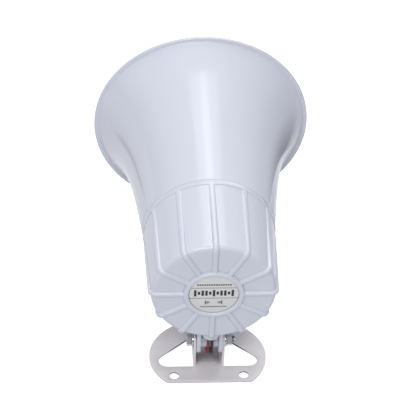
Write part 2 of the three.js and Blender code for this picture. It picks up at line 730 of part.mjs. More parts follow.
function addWires(group) {
  for (const [side, colour, material] of [[-1, "red", redPvc], [1, "black", blackPvc]]) {
    add(group, `lead_wire_${colour}`, leadWire(side), material);
    add(group, `wire_end_${colour}`, strippedEnd(side), zincSteel);
    add(group, `coil_lead_${colour}`, coilLead(side), material);
  }
}

// ---- Assembly ----

const product = new THREE.Group();
add(product, "bracket", bracket(), stainless);
addPivotHardware(product);

const siren = new THREE.Group();
const seal = ring(SPIGOT_OUTER + 0.2, COVER_BORE - 0.3, COVER_LENGTH - SEAL_DEPTH, COVER_LENGTH, ROUND);
const labelBack = LABEL_SEAT_Y - 0.05;
siren.position.set(0, -REAR_TO_PIVOT, AXIS_HEIGHT);
product.add(siren);

add(siren, "rear_cover", rearCover(), whitePlastic);
add(siren, "label_disc", rod(LABEL_RADIUS, labelBack - LABEL_THICKNESS, labelBack, ROUND), labelFoil);
add(siren, "cable_grommet", cableGrommet(), blackRubber);
add(siren, "cover_seal", seal, blackRubber);
add(siren, "horn_bell", hornBell(), whitePlastic);
add(siren, "throat_tube", throatTube(), whitePlastic);
add(siren, "reflector", reflector(), whitePlastic);
addDriver(siren);
addCoverScrews(siren);
addCircuit(siren);
addWires(siren);

export default product;
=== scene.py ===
"""Alarm siren: fine meshes, materials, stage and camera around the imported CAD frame.

Shapes are drawn in millimetres. "Siren space" has its origin on the horn axis at the rear cover's end face,
with y running forward to the mouth. "Bracket space" is the frame itself, with z up from the mounting face.
"""

import json
from itertools import pairwise
from math import acos, asin, atan2, cos, pi, radians, sin, sqrt, tan

import bmesh
import bpy
from mathutils import Matrix, Vector
from mathutils.geometry import delaunay_2d_cdt


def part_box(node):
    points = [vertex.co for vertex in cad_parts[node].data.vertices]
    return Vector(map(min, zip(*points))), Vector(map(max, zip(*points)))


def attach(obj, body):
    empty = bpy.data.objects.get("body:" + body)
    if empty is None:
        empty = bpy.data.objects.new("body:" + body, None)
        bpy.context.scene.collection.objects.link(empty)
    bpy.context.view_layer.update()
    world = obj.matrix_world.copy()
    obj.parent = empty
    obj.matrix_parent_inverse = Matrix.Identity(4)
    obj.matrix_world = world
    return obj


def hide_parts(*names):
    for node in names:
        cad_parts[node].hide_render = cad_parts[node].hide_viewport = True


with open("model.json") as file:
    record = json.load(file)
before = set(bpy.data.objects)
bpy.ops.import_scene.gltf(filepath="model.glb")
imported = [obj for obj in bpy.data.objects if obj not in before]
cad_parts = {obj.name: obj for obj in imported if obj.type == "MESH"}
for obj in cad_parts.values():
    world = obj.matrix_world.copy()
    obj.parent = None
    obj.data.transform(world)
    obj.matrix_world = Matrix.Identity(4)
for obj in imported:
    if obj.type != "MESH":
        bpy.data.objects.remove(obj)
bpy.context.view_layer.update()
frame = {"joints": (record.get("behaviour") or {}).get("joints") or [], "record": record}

# ---- Driving dimensions, in millimetres ----

MM = 0.001
TINY = 1e-6

# Rear cover
COVER_LENGTH = 62.0
BAND_Y = 58.0
BAND_RADIUS = 44.0
PANEL = (1.7, 40.3, 43.3, 3.0)  # between the ribs: end face, rear radius, front radius, shoulder
RIB = (-0.15, 42.15, 43.85, 5.5)  # the same along a rib
RIBS = 12
RIB_HALF_WIDTH = 2.05
BEAD_INNER = 16.1
BEAD_OUTER = 19.4
BEAD_TOP = -0.8
LABEL_RADIUS = 15.8
LABEL_Y = 0.5
LABEL_SEAT = 1.0  # y of the recess floor under the label
CAVITY_REAR = 4.0
WALL = 2.2

# Lugs, cross tube and cable outlet, under the cover
LUG_INNER = 5.9
LUG_OUTER = 8.6
LUG_RADIUS = 8.8
CROSS_TUBE_RADIUS = 5.3
OUTLET_RADIUS = 5.4
OUTLET_Z = -42.0
OUTLET_FROM, OUTLET_TO = 5.6, 15.4
CABLE_Y = 10.5
CABLE_HOLE_RADIUS = 3.2

# Horn bell, and the spigot that enters the cover
BELL_REAR = 62.1
FLARE_END = 172.0
HORN_TAPER, HORN_FLARE = 12.5, 15.5  # growth of the radius: even, and with the fourth power of the distance
MOUTH_RADIUS = 75.0
LIP = 2.8
BULKHEAD = 3.0
THROAT_HOLE = 11.0
SPIGOT_INNER, SPIGOT_OUTER = 37.0, 38.6
SPIGOT_LENGTH = 5.6
SEAL_INNER, SEAL_OUTER = 38.8, 39.6

# Bracket
SHEET = 1.5
PLATE_HALF_WIDTH = 39.4
PLATE_HALF_LENGTH = 34.0
PLATE_CENTRE_Y = 4.3
PLATE_EDGE_Y = -19.6
EAR_OUTER_X = 10.3
EAR_TIP_RADIUS = 5.7
EAR_FRONT_Y = 24.0
WINDOW_TIP_X = 27.5
BEND_RADIUS = 1.0
FIXING_RADIUS = 3.25
FIXINGS = [(-23.3, -13.8), (23.3, -13.8), (0.0, 30.5)]

# Pivot hardware, M5; x is measured across the bracket
BOLT_RADIUS = 2.5
BOLT_HOLE_RADIUS = 2.75
HEX = 8.0
WASHER = 1.0
WASHER_RADIUS = 5.0
WASHER_X = EAR_OUTER_X + 0.1
NUT_X = WASHER_X + WASHER + 0.1
NUT_HEIGHT = 3.8
BOLT_HEAD_X = NUT_X
HEAD_HEIGHT = 3.5
BOLT_TIP = 29 - BOLT_HEAD_X

# Inner horn, board and wires
TUBE_END = 108.0
TUBE_OUTER = 14.2
CUP_REAR = 80.0
CUP_RADIUS = 30.0
NOSE_START, NOSE_LENGTH = 106.0, 33.0
BOARD_Y = 14.0
BOARD_FRONT = 15.7
BOARD_POSTS = [(-18, 13), (18, 13), (0, -12)]
BOARD_WIDTH, BOARD_HEIGHT = 50.0, 38.0
WIRE_RADIUS = 0.95
WIRE_X = 1.25
COIL_LEAD_RADIUS = 0.6
STRAND_RADIUS = 0.17

# Compression driver
YOKE_REAR = 27.7
MAGNET_REAR, MAGNET_FRONT = 33.0, 48.0
MAGNET_BORE, MAGNET_RADIUS = 14.5, 30.0
STEEL_RADIUS = 29.0
POLE_RADIUS = 12.3
POLE_FRONT = 52.5
GAP_RADIUS = 13.9
TOP_PLATE_FRONT = 53.3
FORMER_RADIUS = 13.15
FORMER_REAR = 46.0
DIAPHRAGM_RADIUS = 18.2
DIAPHRAGM_Y = 54.2
FRAME_RADIUS = 36.6
FRAME_REAR, FRAME_FRONT = 53.7, 60.3
FRAME_SEAT = 57.0

# Screws: head radius, head height, shank radius and length, and how far from the horn axis they stand
COVER_SCREW = (3.2, 2.4, 1.7, 15.0)
DRIVER_SCREW = (3.0, 2.4, 1.6, 7.5)
BOARD_SCREW = (2.6, 1.8, 1.2, 8.0)
COVER_SCREW_RADIUS = 36.3
DRIVER_SCREW_RADIUS = 33.0


def shift(x, y, z):
    return Matrix.Translation((x, y, z))


# Facts and places taken from the frame
record = frame["record"]
SLOTS = {part["node"]: part["material_slot"] for part in record["subparts"]}
BODIES = {node: body for body, nodes in record["behaviour"]["bodies"].items() for node in nodes}
tilt = next(joint for joint in frame["joints"] if joint["name"] == "tilt")
bell_low, bell_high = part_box("horn_bell")
cover_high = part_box("rear_cover")[1]
AXIS_HEIGHT = (bell_low.z + bell_high.z) / 2 / MM
REAR_Y = cover_high.y / MM - COVER_LENGTH
PIVOT_HEIGHT = tilt["pos_m"][2] / MM
PIVOT_Y = -REAR_Y
PIVOT_Z = PIVOT_HEIGHT - AXIS_HEIGHT

BRACKET_SPACE = Matrix.Scale(MM, 4)
SIREN_SPACE = BRACKET_SPACE @ shift(0, REAR_Y, AXIS_HEIGHT)
Y_TO_X = Matrix.Rotation(-pi / 2, 4, "Z")
Y_TO_DOWN = Matrix.Rotation(-pi / 2, 4, "X")
HALF_TURN = Matrix.Rotation(pi, 4, "X")
TOP_TO_REAR = Matrix(((1, 0, 0, 0), (0, 0, -1, 0), (0, 1, 0, 0), (0, 0, 0, 1)))
TOP_TO_SIDE = Matrix(((0, 0, 1, 0), (1, 0, 0, 0), (0, 1, 0, 0), (0, 0, 0, 1)))
CABLE_DOWN = shift(0, CABLE_Y, 0) @ Y_TO_DOWN
PIVOT_ACROSS = shift(0, 0, PIVOT_HEIGHT) @ Y_TO_X

# ---- Outlines ----


def evenly(start, end, steps):
    """Numbers from start to end in equal steps."""
    return [start + (end - start) * k / steps for k in range(steps + 1)]


def crowding(start, end, steps):
    """Numbers from start to end, closer together towards the end."""
    return [start + (end - start) * sin(pi / 2 * k / steps) for k in range(steps + 1)]


def full_turn(steps):
    """Equally spaced angles round a circle."""
    return evenly(0, 2 * pi, steps)[:-1]


def rounded(corners, steps=5):
    """Points through corners given as (a, b, radius); a radius turns its corner into an arc."""
    points = []
    for i, (a, b, radius) in enumerate(corners):
        corner = Vector((a, b))
        if radius == 0:
            points.append(corner)
            continue
        back = (Vector(corners[i - 1][:2]) - corner).normalized()
        on = (Vector(corners[(i + 1) % len(corners)][:2]) - corner).normalized()
        half = back.angle(on) / 2
        centre = corner + (back + on).normalized() * radius / sin(half)
        start = corner + back * radius / tan(half) - centre
        sweep = pi - 2 * half
        if back.x * on.y - back.y * on.x > 0:
            sweep = -sweep
        for k in range(steps + 1):
            points.append(centre + Matrix.Rotation(sweep * k / steps, 2) @ start)
    return points


def circle(a, b, radius, steps=48):
    return [Vector((a + radius * cos(t), b + radius * sin(t))) for t in full_turn(steps)]


def between(start, end, steps):
    """Points from start up to end, without end."""
    start, end = Vector(start), Vector(end)
    return [start.lerp(end, k / steps) for k in range(steps)]


# ---- Meshes ----


def skin(rings, closed=False):
    """A surface through rings of points. A ring of one point closes an end."""
    bm = bmesh.new()
    loops = [[bm.verts.new(point) for point in ring] for ring in rings]
    if closed:
        loops.append(loops[0])
    for a, b in pairwise(loops):
        count = max(len(a), len(b))
        if count == 1:
            continue
        for i in range(count):
            j = (i + 1) % count
            if len(a) == 1:
                bm.faces.new((a[0], b[j], b[i]))
            elif len(b) == 1:
                bm.faces.new((a[i], a[j], b[0]))
            else:
                bm.faces.new((a[i], a[j], b[j], b[i]))
    bmesh.ops.recalc_face_normals(bm, faces=bm.faces)
    return bm


def round_ring(radius, y, sides=72):
    return [(radius * sin(t), y, radius * cos(t)) for t in full_turn(sides)]


def revolve(outline, segments=160):
    """An outline of (radius, y) points turned about the Y axis."""
    rings = []
    for radius, y in outline:
        if radius < TINY:
            rings.append([(0, y, 0)])
        else:
            rings.append(round_ring(radius, y, segments))
    return skin(rings, closed=len(rings[0]) > 1)


def lathed(corners, segments=96, steps=5):
    """A turned part from (radius, y, rounding) corners."""
    return revolve(rounded(corners, steps), segments)


def slab(outline, low, high, edge=0.3):
    """A plate in the first two axes, from low to high along the third, with its rims rounded."""
    bm = bmesh.new()
    foot = bm.faces.new([bm.verts.new((a, b, low)) for a, b in outline])
    grown = bmesh.ops.extrude_face_region(bm, geom=[foot])["geom"]
    raised = [item for item in grown if isinstance(item, bmesh.types.BMVert)]
    bmesh.ops.translate(bm, verts=raised, vec=(0, 0, high - low))
    bmesh.ops.recalc_face_normals(bm, faces=bm.faces)
    if edge > 0:
        rims = [e for e in bm.edges if abs(e.verts[0].co.z - e.verts[1].co.z) < TINY]
        bmesh.ops.bevel(bm, geom=rims, offset=edge, segments=3, profile=0.5, affect="EDGES")
    return bm


def turned(bm, matrix):
    bm.transform(matrix)
    return bm


def rod(radius, low, high, segments=48):
    """A plain bar along the Y axis."""
    return revolve([(0, low), (radius, low), (radius, high), (0, high)], segments)


def block(x, z, width, height, low, high, corner=0.4, edge=0.3):
    """A rounded block from y = low to y = high."""
    left, right, foot, top = x - width / 2, x + width / 2, z - height / 2, z + height / 2
    corners = [(left, foot), (right, foot), (right, top), (left, top)]
    outline = rounded([(*point, corner) for point in corners], steps=3)
    return turned(slab(outline, -high, -low, edge), TOP_TO_REAR)


def round_axis(radius, count, start=0.0):
    """Turns about the horn axis, each followed by a step out to a radius."""
    out = shift(0, 0, radius)
    return [Matrix.Rotation(start + t, 4, "Y") @ out for t in full_turn(count)]


def add_object(name, data):
    obj = bpy.data.objects.new(name, data)
    bpy.context.scene.collection.objects.link(obj)
    return obj


def add_mesh(bm, name="scratch"):
    mesh = bpy.data.meshes.new(name)
    bm.to_mesh(mesh)
    bm.free()
    return add_object(name, mesh)


def evaluated(target, helpers=()):
    """The bmesh of a scratch object with its modifiers applied; the scratch objects are removed."""
    bpy.context.view_layer.update()
    graph = bpy.context.evaluated_depsgraph_get()
    result = bmesh.new()
    result.from_object(target, graph)
    for obj in [target, *helpers]:
        bpy.data.meshes.remove(obj.data)
    return result


def shaped(bm, kind, **settings):
    """A bmesh after one modifier."""
    target = add_mesh(bm)
    step = target.modifiers.new("step", kind)
    for key, value in settings.items():
        setattr(step, key, value)
    return evaluated(target)


def combined(base, added=(), removed=()):
    """One bmesh: base joined with the added solids, then cut by the removed ones."""
    target = add_mesh(base)
    helpers = []
    for operation, solids in (("UNION", added), ("DIFFERENCE", removed)):
        for solid in solids:
            helper = add_mesh(solid)
            helpers.append(helper)
            step = target.modifiers.new("step", "BOOLEAN")
            step.operation = operation
            step.solver = "EXACT"
            step.object = helper
    return evaluated(target, helpers)


def merged(*parts):
    """Several separate solids in one bmesh."""
    whole = bmesh.new()
    for part in parts:
        mesh = add_mesh(part).data
        whole.from_mesh(mesh)
        bpy.data.meshes.remove(mesh)
    return whole


def piece(name, node, bm, material=None, sharp=35):
    """Turns a bmesh into a piece that stands for a CAD node, rides on its body and keeps its finish."""
    body = BODIES[node]
    slot = SLOTS[node]
    bm.transform(BRACKET_SPACE if body == "mount" else SIREN_SPACE)
    obj = add_mesh(bm, name)
    obj.data.materials.append(material or FINISHES[slot])
    obj.data.shade_smooth()
    obj.data.set_sharp_from_angle(angle=radians(sharp))
    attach(obj, body)
    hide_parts(node)


def fine(node, bm):
    """A piece that is named after its CAD node."""
    piece(f"{node}_fine", node, bm)


# ---- Materials ----

MIX_A, MIX_B, MIX_RESULT = 6, 7, 2  # a mix node's sockets for colours


class Graph:
    """A material's node tree with short calls to add and join nodes."""

    def __init__(self, name):
        self.material = bpy.data.materials.new(name)
        self.material.use_nodes = True
        self.tree = self.material.node_tree
        self.shader = self.tree.nodes["Principled BSDF"]
        self.where = self.add("ShaderNodeTexCoord").outputs["Object"]

    def add(self, kind, settings=None, **inputs):
        node = self.tree.nodes.new(kind)
        for key, value in (settings or {}).items():
            setattr(node, key, value)
        for key, value in inputs.items():
            self.feed(node.inputs[key.replace("_", " ")], value)
        return node

    def feed(self, socket, value):
        if isinstance(value, bpy.types.NodeSocket):
            self.tree.links.new(value, socket)
        else:
            socket.default_value = value

    def math(self, operation, *values):
        node = self.add("ShaderNodeMath", {"operation": operation})
        for socket, value in zip(node.inputs, values):
            self.feed(socket, value)
        return node.outputs[0]

    def noise(self, scale, stretch=(1, 1, 1), detail=4.0):
        """Noise of about scale cells a metre, between 0 and 1."""
        place = self.add("ShaderNodeMapping", Vector=self.where, Scale=stretch)
        noise = self.add("ShaderNodeTexNoise", Vector=place.outputs[0], Scale=scale, Detail=detail)
        return noise.outputs["Fac"]

    def ramp(self, value, low, high, start=0.0, end=1.0):
        node = self.add("ShaderNodeMapRange", {"clamp": True}, Value=value)
        for key, number in (("From Min", start), ("From Max", end), ("To Min", low), ("To Max", high)):
            node.inputs[key].default_value = number
        return node.outputs[0]

    def mix(self, share, a, b):
        node = self.add("ShaderNodeMix", {"data_type": "RGBA"})
        self.feed(node.inputs["Factor"], share)
        self.feed(node.inputs[MIX_A], a)
        self.feed(node.inputs[MIX_B], b)
        return node.outputs[MIX_RESULT]

    def bump(self, height, depth_mm, normal=None):
        node = self.add("ShaderNodeBump", Height=height, Distance=depth_mm * MM)
        if normal:
            self.feed(node.inputs["Normal"], normal)
        return node.outputs[0]

    def edges(self, width_mm):
        """1 on sharp edges and 0 elsewhere."""
        soft = self.add("ShaderNodeBevel", {"samples": 4}, Radius=width_mm * MM).outputs[0]
        plain = self.add("ShaderNodeNewGeometry").outputs["Normal"]
        dot = self.add("ShaderNodeVectorMath", {"operation": "DOT_PRODUCT"})
        self.feed(dot.inputs[0], soft)
        self.feed(dot.inputs[1], plain)
        return self.ramp(dot.outputs["Value"], 1.0, 0.0, 0.6, 0.98)

    def corners(self, reach_mm, samples=6):
        """0 deep in inside corners and 1 in the open."""
        node = self.add("ShaderNodeAmbientOcclusion", {"samples": samples}, Distance=reach_mm * MM)
        return node.outputs["AO"]

    def finish(self, **inputs):
        for key, value in inputs.items():
            self.feed(self.shader.inputs[key.replace("_", " ")], value)
        return self.material


def rgb(red, green, blue):
    return (red, green, blue, 1.0)


def white_plastic():
    """Glossy moulded ABS: faint flow marks, orange peel, painted shade darkening the inside corners, polished
    edges.
    """
    g = Graph("white_plastic")
    flow = g.noise(14, stretch=(1, 0.4, 1), detail=3)
    colour = g.mix(flow, rgb(0.66, 0.68, 0.76), rgb(0.70, 0.72, 0.80))
    # Painted shade: the colour turns a darker blue-grey in inside corners, where shade falls.
    open_share = g.ramp(g.corners(1.2), 0.0, 1.0, 0.25, 0.8)
    colour = g.mix(open_share, rgb(0.46, 0.48, 0.55), colour)
    smudge = g.noise(45, detail=6)
    rough = g.ramp(smudge, 0.12, 0.16, 0.1, 0.9)
    rough = g.math("SUBTRACT", rough, g.math("MULTIPLY", g.edges(0.4), 0.06))
    peel = g.noise(900, detail=2)
    fine = g.noise(3500, detail=2)
    normal = g.bump(peel, 0.012)
    normal = g.bump(fine, 0.003, normal)
    return g.finish(Base_Color=colour, Roughness=rough, IOR=1.5, Normal=normal)


def sheet_steel():
    """Satin rolled sheet: fine grain along x, faint blotches, painted shade in the fold and between the ears,
    sheared edges painted lighter as bright cut metal and painted highlight.
    """
    g = Graph("sheet_steel")
    grain = g.noise(420, stretch=(0.08, 1, 1), detail=6)
    blotch = g.noise(38, detail=5)
    colour = g.mix(grain, rgb(0.79, 0.75, 0.76), rgb(0.86, 0.82, 0.83))
    colour = g.mix(g.ramp(blotch, 0.0, 0.35), colour, rgb(0.74, 0.70, 0.72))
    # Painted shade: the colour turns nearly black where the ears and the siren above hem the plate in.
    colour = g.mix(g.ramp(g.corners(18, 32), 0.0, 1.0, 0.34, 0.50), rgb(0.02, 0.02, 0.03), colour)
    # Sheared edges painted lighter: partly bright cut metal, partly a painted highlight.
    colour = g.mix(g.edges(0.25), colour, rgb(0.90, 0.88, 0.88))
    rough = g.math("ADD", g.ramp(grain, 0.34, 0.50), g.ramp(blotch, -0.05, 0.05))
    normal = g.bump(grain, 0.006)
    return g.finish(Base_Color=colour, Metallic=0.1, Roughness=rough, Normal=normal, Anisotropic=0.3)


def zinc_plate():
    """Bright zinc: small crystals of slightly different grey, painted shade in the inside corners, corners
    painted lighter as rubbed wear and painted highlight.
    """
    g = Graph("zinc_plate")
    cells = g.add("ShaderNodeTexVoronoi", Vector=g.where, Scale=900.0).outputs["Distance"]
    colour = g.mix(g.ramp(cells, 0.0, 1.0), rgb(0.62, 0.63, 0.65), rgb(0.78, 0.78, 0.79))
    # Painted shade: the colour darkens to dark grey in inside corners.
    colour = g.mix(g.ramp(g.corners(1.5), 0.0, 1.0, 0.3, 0.9), rgb(0.10, 0.10, 0.10), colour)
    # Edges painted lighter: partly rubbed wear, partly a painted highlight.
    colour = g.mix(g.edges(0.15), colour, rgb(0.90, 0.90, 0.91))
    rough = g.ramp(g.noise(700, detail=4), 0.08, 0.2)
    normal = g.bump(g.noise(1500), 0.002)
    return g.finish(Base_Color=colour, Metallic=1.0, Roughness=rough, Normal=normal)


def label_foil():
    """Silver foil with a fine directional grain."""
    g = Graph("label_foil")
    grain = g.noise(1600, stretch=(0.06, 1, 1), detail=3)
    colour = g.mix(grain, rgb(0.67, 0.67, 0.67), rgb(0.77, 0.76, 0.75))
    rough = g.ramp(grain, 0.32, 0.48)
    return g.finish(Base_Color=colour, Metallic=0.3, Roughness=rough, Normal=g.bump(grain, 0.002))


def speckled(name, dark, light, roughness, scale, depth_mm, metallic=0.0, stretch=(1, 1, 1)):
    """A plain material with noise in its colour, roughness and surface."""
    g = Graph(name)
    speck = g.noise(scale, stretch=stretch, detail=5)
    wide = g.noise(scale / 15, detail=3)
    colour = g.mix(g.ramp(g.math("ADD", speck, wide), 0.0, 1.0, 0.6, 1.4), rgb(*dark), rgb(*light))
    rough = g.ramp(speck, roughness - 0.08, roughness + 0.08)
    return g.finish(Base_Color=colour, Metallic=metallic, Roughness=rough, Normal=g.bump(speck, depth_mm))


# Dark and light colour, roughness, specks a metre, relief in mm, and for metals metalness and grain
SPECKLED = {
    "label_ink": ((0.012, 0.012, 0.016), (0.03, 0.03, 0.035), 0.5, 2500, 0.002),
    "black_rubber": ((0.012, 0.012, 0.012), (0.035, 0.035, 0.035), 0.7, 1500, 0.02),
    # red_pvc: the wire's own red, darkened as painted shade for the shade the leads lie in under the cover.
    "red_pvc": ((0.20, 0.006, 0.014), (0.28, 0.012, 0.022), 0.42, 700, 0.01),
    "black_pvc": ((0.004, 0.004, 0.005), (0.010, 0.010, 0.012), 0.5, 700, 0.01),
    "ferrite": ((0.018, 0.018, 0.020), (0.045, 0.045, 0.050), 0.62, 1400, 0.02),
    "phenolic": ((0.26, 0.13, 0.035), (0.42, 0.24, 0.08), 0.45, 1800, 0.02),
    "copper": ((0.45, 0.16, 0.06), (0.65, 0.28, 0.12), 0.28, 1200, 0.01, 0.9, (0.05, 1, 1)),
    "board_green": ((0.008, 0.10, 0.035), (0.015, 0.16, 0.06), 0.4, 500, 0.006),
    "chip_black": ((0.010, 0.010, 0.012), (0.024, 0.024, 0.026), 0.5, 2600, 0.01),
    "sleeve_blue": ((0.010, 0.022, 0.11), (0.020, 0.040, 0.17), 0.3, 400, 0.01),
    "aluminium": ((0.50, 0.51, 0.52), (0.66, 0.67, 0.68), 0.36, 900, 0.01, 1.0, (1, 0.05, 1)),
}
FINISHES = {
    "white_plastic": white_plastic(),
    "stainless": sheet_steel(),
    "zinc_steel": zinc_plate(),
    "label_foil": label_foil(),
}
for slot, recipe in SPECKLED.items():
    FINISHES[slot] = speckled(slot, *recipe)

# ---- Rear cover ----

# Distances of the point columns from a rib's middle, closer together down its side
RIB_LINES = [0.0, 0.4, 0.8, 1.1, 1.35, 1.55, 1.72, 1.86, 1.96, RIB_HALF_WIDTH, 2.3]
PANEL_STEPS = 10


def rib_height(line):
    """The share of the rib's height at a distance from its middle: a rounded crest with steep sides."""
    return max(0.0, 1 - abs(line / RIB_HALF_WIDTH) ** 3) ** 0.8


def cover_profile(face_y, rear_radius, front_radius, turn):
    """The cover's outline as (radius, y) points, with its end face at face_y and a rounded shoulder."""
    bead = rounded([
        (BEAD_INNER - 0.2, LABEL_SEAT, 0),
        (BEAD_INNER, LABEL_SEAT, 0.1),
        (BEAD_INNER + 0.1, BEAD_TOP, 1.1),
        (BEAD_OUTER, BEAD_TOP, 1.3),
        (BEAD_OUTER + 0.3, face_y, 0),
    ], steps=6)
    shoulder = rounded([
        (rear_radius - turn - 1, face_y, 0),
        (rear_radius, face_y, turn),
        (rear_radius + 0.1, face_y + turn + 2, 0),
    ], steps=10)
    side_end = Vector((front_radius, BAND_Y - 0.3))
    points = between((0, LABEL_SEAT), (BEAD_INNER - 0.3, LABEL_SEAT), 3)
    points += bead[:-1]
    points += between(bead[-1], shoulder[0], 8)
    points += shoulder[:-1]
    points += between(shoulder[-1], side_end, 12)
    points += [side_end]
    points += rounded([
        (front_radius + 0.03, BAND_Y - 0.1, 0),
        (BAND_RADIUS - 0.1, BAND_Y, 0.15),
        (BAND_RADIUS - 0.05, BAND_Y + 1, 0),
    ], steps=4)
    cavity = PANEL[1] - WALL
    rim_and_inside = [
        (BAND_RADIUS, COVER_LENGTH - 0.4), (BAND_RADIUS - 0.1, COVER_LENGTH - 0.1),
        (BAND_RADIUS - 0.3, COVER_LENGTH), (SEAL_OUTER + 0.3, COVER_LENGTH),
        (cavity - 0.3, CAVITY_REAR + 3), (cavity - 2, CAVITY_REAR),
        (0, CAVITY_REAR),
    ]
    return points + [Vector(point) for point in rim_and_inside]


def cover_shell():
    """The ribbed cap. Columns of points follow each rib at a fixed distance from its middle."""
    across = sorted({side * line for line in RIB_LINES for side in (-1, 1)})
    panel, rib = cover_profile(*PANEL), cover_profile(*RIB)
    pitch = 2 * pi / RIBS
    rings = []
    for flat, raised in zip(panel, rib):
        if flat.x < TINY:
            rings.append([(0, flat.y, 0)])
            continue
        ring = []
        for k in range(RIBS):
            spread = max(flat.x, BEAD_OUTER)
            edge = asin(across[-1] / spread)
            for line in across:
                ring.append((k * pitch + asin(line / spread), flat.lerp(raised, rib_height(line))))
            for step in range(1, PANEL_STEPS):
                turn = k * pitch + edge + (pitch - 2 * edge) * step / PANEL_STEPS
                ring.append((turn, flat))
        rings.append([(p.x * sin(turn), p.y, p.x * cos(turn)) for turn, p in ring])
    return skin(rings)


def lug(x_low, x_high):
    """A tab that hangs from inside the cover's wall and ends in a half circle round the pivot."""
    wall_z = -39.0
    lower_half = evenly(pi, 2 * pi, 24)
    outline = [(PIVOT_Y - LUG_RADIUS, wall_z)]
    outline += [(PIVOT_Y + LUG_RADIUS * cos(t), PIVOT_Z + LUG_RADIUS * sin(t)) for t in lower_half]
    outline += [(PIVOT_Y + LUG_RADIUS, wall_z)]
    return turned(slab(outline, x_low, x_high, edge=0.35), TOP_TO_SIDE)


def bar_across(radius, half_length):
    pivot = shift(0, PIVOT_Y, PIVOT_Z) @ Y_TO_X
    return turned(rod(radius, -half_length, half_length), pivot)


def cable_outlet():
    """The round boss under the cover that the leads come out of."""
    boss = lathed([
        (0, OUTLET_FROM, 0),
        (OUTLET_RADIUS, OUTLET_FROM, 0.8),
        (OUTLET_RADIUS, OUTLET_TO, 0.5),
        (0, OUTLET_TO, 0),
    ], 64)
    return turned(boss, shift(0, 0, OUTLET_Z))


def rear_cover():
    added = [lug(-LUG_OUTER, -LUG_INNER), lug(LUG_INNER, LUG_OUTER)]
    added += [bar_across(CROSS_TUBE_RADIUS, LUG_INNER + 0.2), cable_outlet()]
    inside, below = 30, 49  # distances below the horn axis
    cable_hole = turned(rod(CABLE_HOLE_RADIUS, inside, below), CABLE_DOWN)
    removed = [bar_across(BOLT_HOLE_RADIUS, LUG_OUTER + 1), cable_hole]
    return combined(cover_shell(), added, removed)


piece("cover_moulding", "rear_cover", rear_cover())

# ---- Label ----


def label_print():
    """Generic print: two rules, a row of level bars, rows of short dashes and two groups of small bars."""
    inks = []

    def mark(x, z, width, height, corner=0.1):
        inks.append(block(x, z, width, height, LABEL_Y - 0.03, LABEL_Y - 0.005, corner, edge=0))

    for z, width in ((6.1, 29.5), (-2.9, 32.0)):
        mark(0, z, width, 0.35)
    for i in range(-5, 6):
        swing = cos(1.9 * i) ** 2
        mark(2.4 * i, 1.55, 1.6, 2.4 + 3.2 * swing, corner=0.3)
    for i in range(-7, 8):
        mark(1.5 * i, 8.8, 1.0, 1.3)
        mark(1.15 * i, -10.4, 0.75, 1.0)
    for side in (-1, 1):
        for i in range(3):
            mark(side * (2.95 + 1.15 * i), -6.7, 0.7, 1.4 + 0.9 * i, corner=0.2)
    return merged(*inks)


def label_disc():
    back = LABEL_SEAT - 0.05
    corners = [(0, LABEL_Y, 0), (LABEL_RADIUS, LABEL_Y, 0.12), (LABEL_RADIUS, back, 0.05), (0, back, 0)]
    return lathed(corners, 160)


piece("label_foil_disc", "label_disc", label_disc())
piece("label_print", "label_disc", label_print(), FINISHES["label_ink"])

# ---- Horn bell ----


def horn_radius(y):
    t = (y - COVER_LENGTH) / (FLARE_END - COVER_LENGTH)
    return BAND_RADIUS + HORN_TAPER * t + HORN_FLARE * t**4


def bell_profile():
    """The wall, lip, bulkhead and spigot as one closed outline."""
    ys = crowding(BELL_REAR + 0.4, FLARE_END, 48)
    outside = [(horn_radius(y), y) for y in ys]
    bulkhead_front = BELL_REAR + BULKHEAD
    inside = [(horn_radius(y) - WALL, y) for y in ys if y > bulkhead_front + 2]
    lip_front = FLARE_END + LIP
    lip = rounded([
        (*outside[-1], 0), (MOUTH_RADIUS - 2.6, FLARE_END + 0.3, 0.3),
        (MOUTH_RADIUS, FLARE_END + 0.3, 0.7), (MOUTH_RADIUS, lip_front, 0.9),
        (MOUTH_RADIUS - 4.0, lip_front, 1.2), (*inside[-1], 0),
    ])
    throat_wall = horn_radius(bulkhead_front) - WALL
    rear = rounded([
        (throat_wall - 0.15, bulkhead_front + 2, 0), (throat_wall - 0.2, bulkhead_front, 1.2),
        (THROAT_HOLE, bulkhead_front, 0.2), (THROAT_HOLE, BELL_REAR, 0.2),
        (SPIGOT_INNER, BELL_REAR, 0.1), (SPIGOT_INNER, BELL_REAR - SPIGOT_LENGTH, 0.3),
        (SPIGOT_OUTER, BELL_REAR - SPIGOT_LENGTH, 0.3), (SPIGOT_OUTER, BELL_REAR, 0.1),
        (BAND_RADIUS - 0.4, BELL_REAR, 0), (BAND_RADIUS - 0.12, BELL_REAR + 0.1, 0),
    ])
    return outside + lip[1:-1] + inside[::-1] + rear


piece("bell_moulding", "horn_bell", revolve(bell_profile(), 256))

# ---- Bracket ----

BEND_START = EAR_OUTER_X - SHEET - BEND_RADIUS
BEND_MIDDLE = BEND_RADIUS + SHEET / 2
BEND_LENGTH = BEND_MIDDLE * pi / 2
BEND_TOP = BEND_RADIUS + SHEET
EAR_TIP = BEND_LENGTH + PIVOT_HEIGHT - BEND_TOP  # along the sheet from the start of the bend
FOLD_LINE = evenly(-EAR_TIP_RADIUS, EAR_FRONT_Y, 12)  # y of the points that plate and ear share


def ear_tangent(foot, tip):
    """Where the sloping edge from the foot, at EAR_FRONT_Y, meets the rounded tip."""
    reach = Vector((foot - tip, EAR_FRONT_Y))
    angle = atan2(reach.y, reach.x) - acos(EAR_TIP_RADIUS / reach.length)
    return tip + EAR_TIP_RADIUS * cos(angle), EAR_TIP_RADIUS * sin(angle)


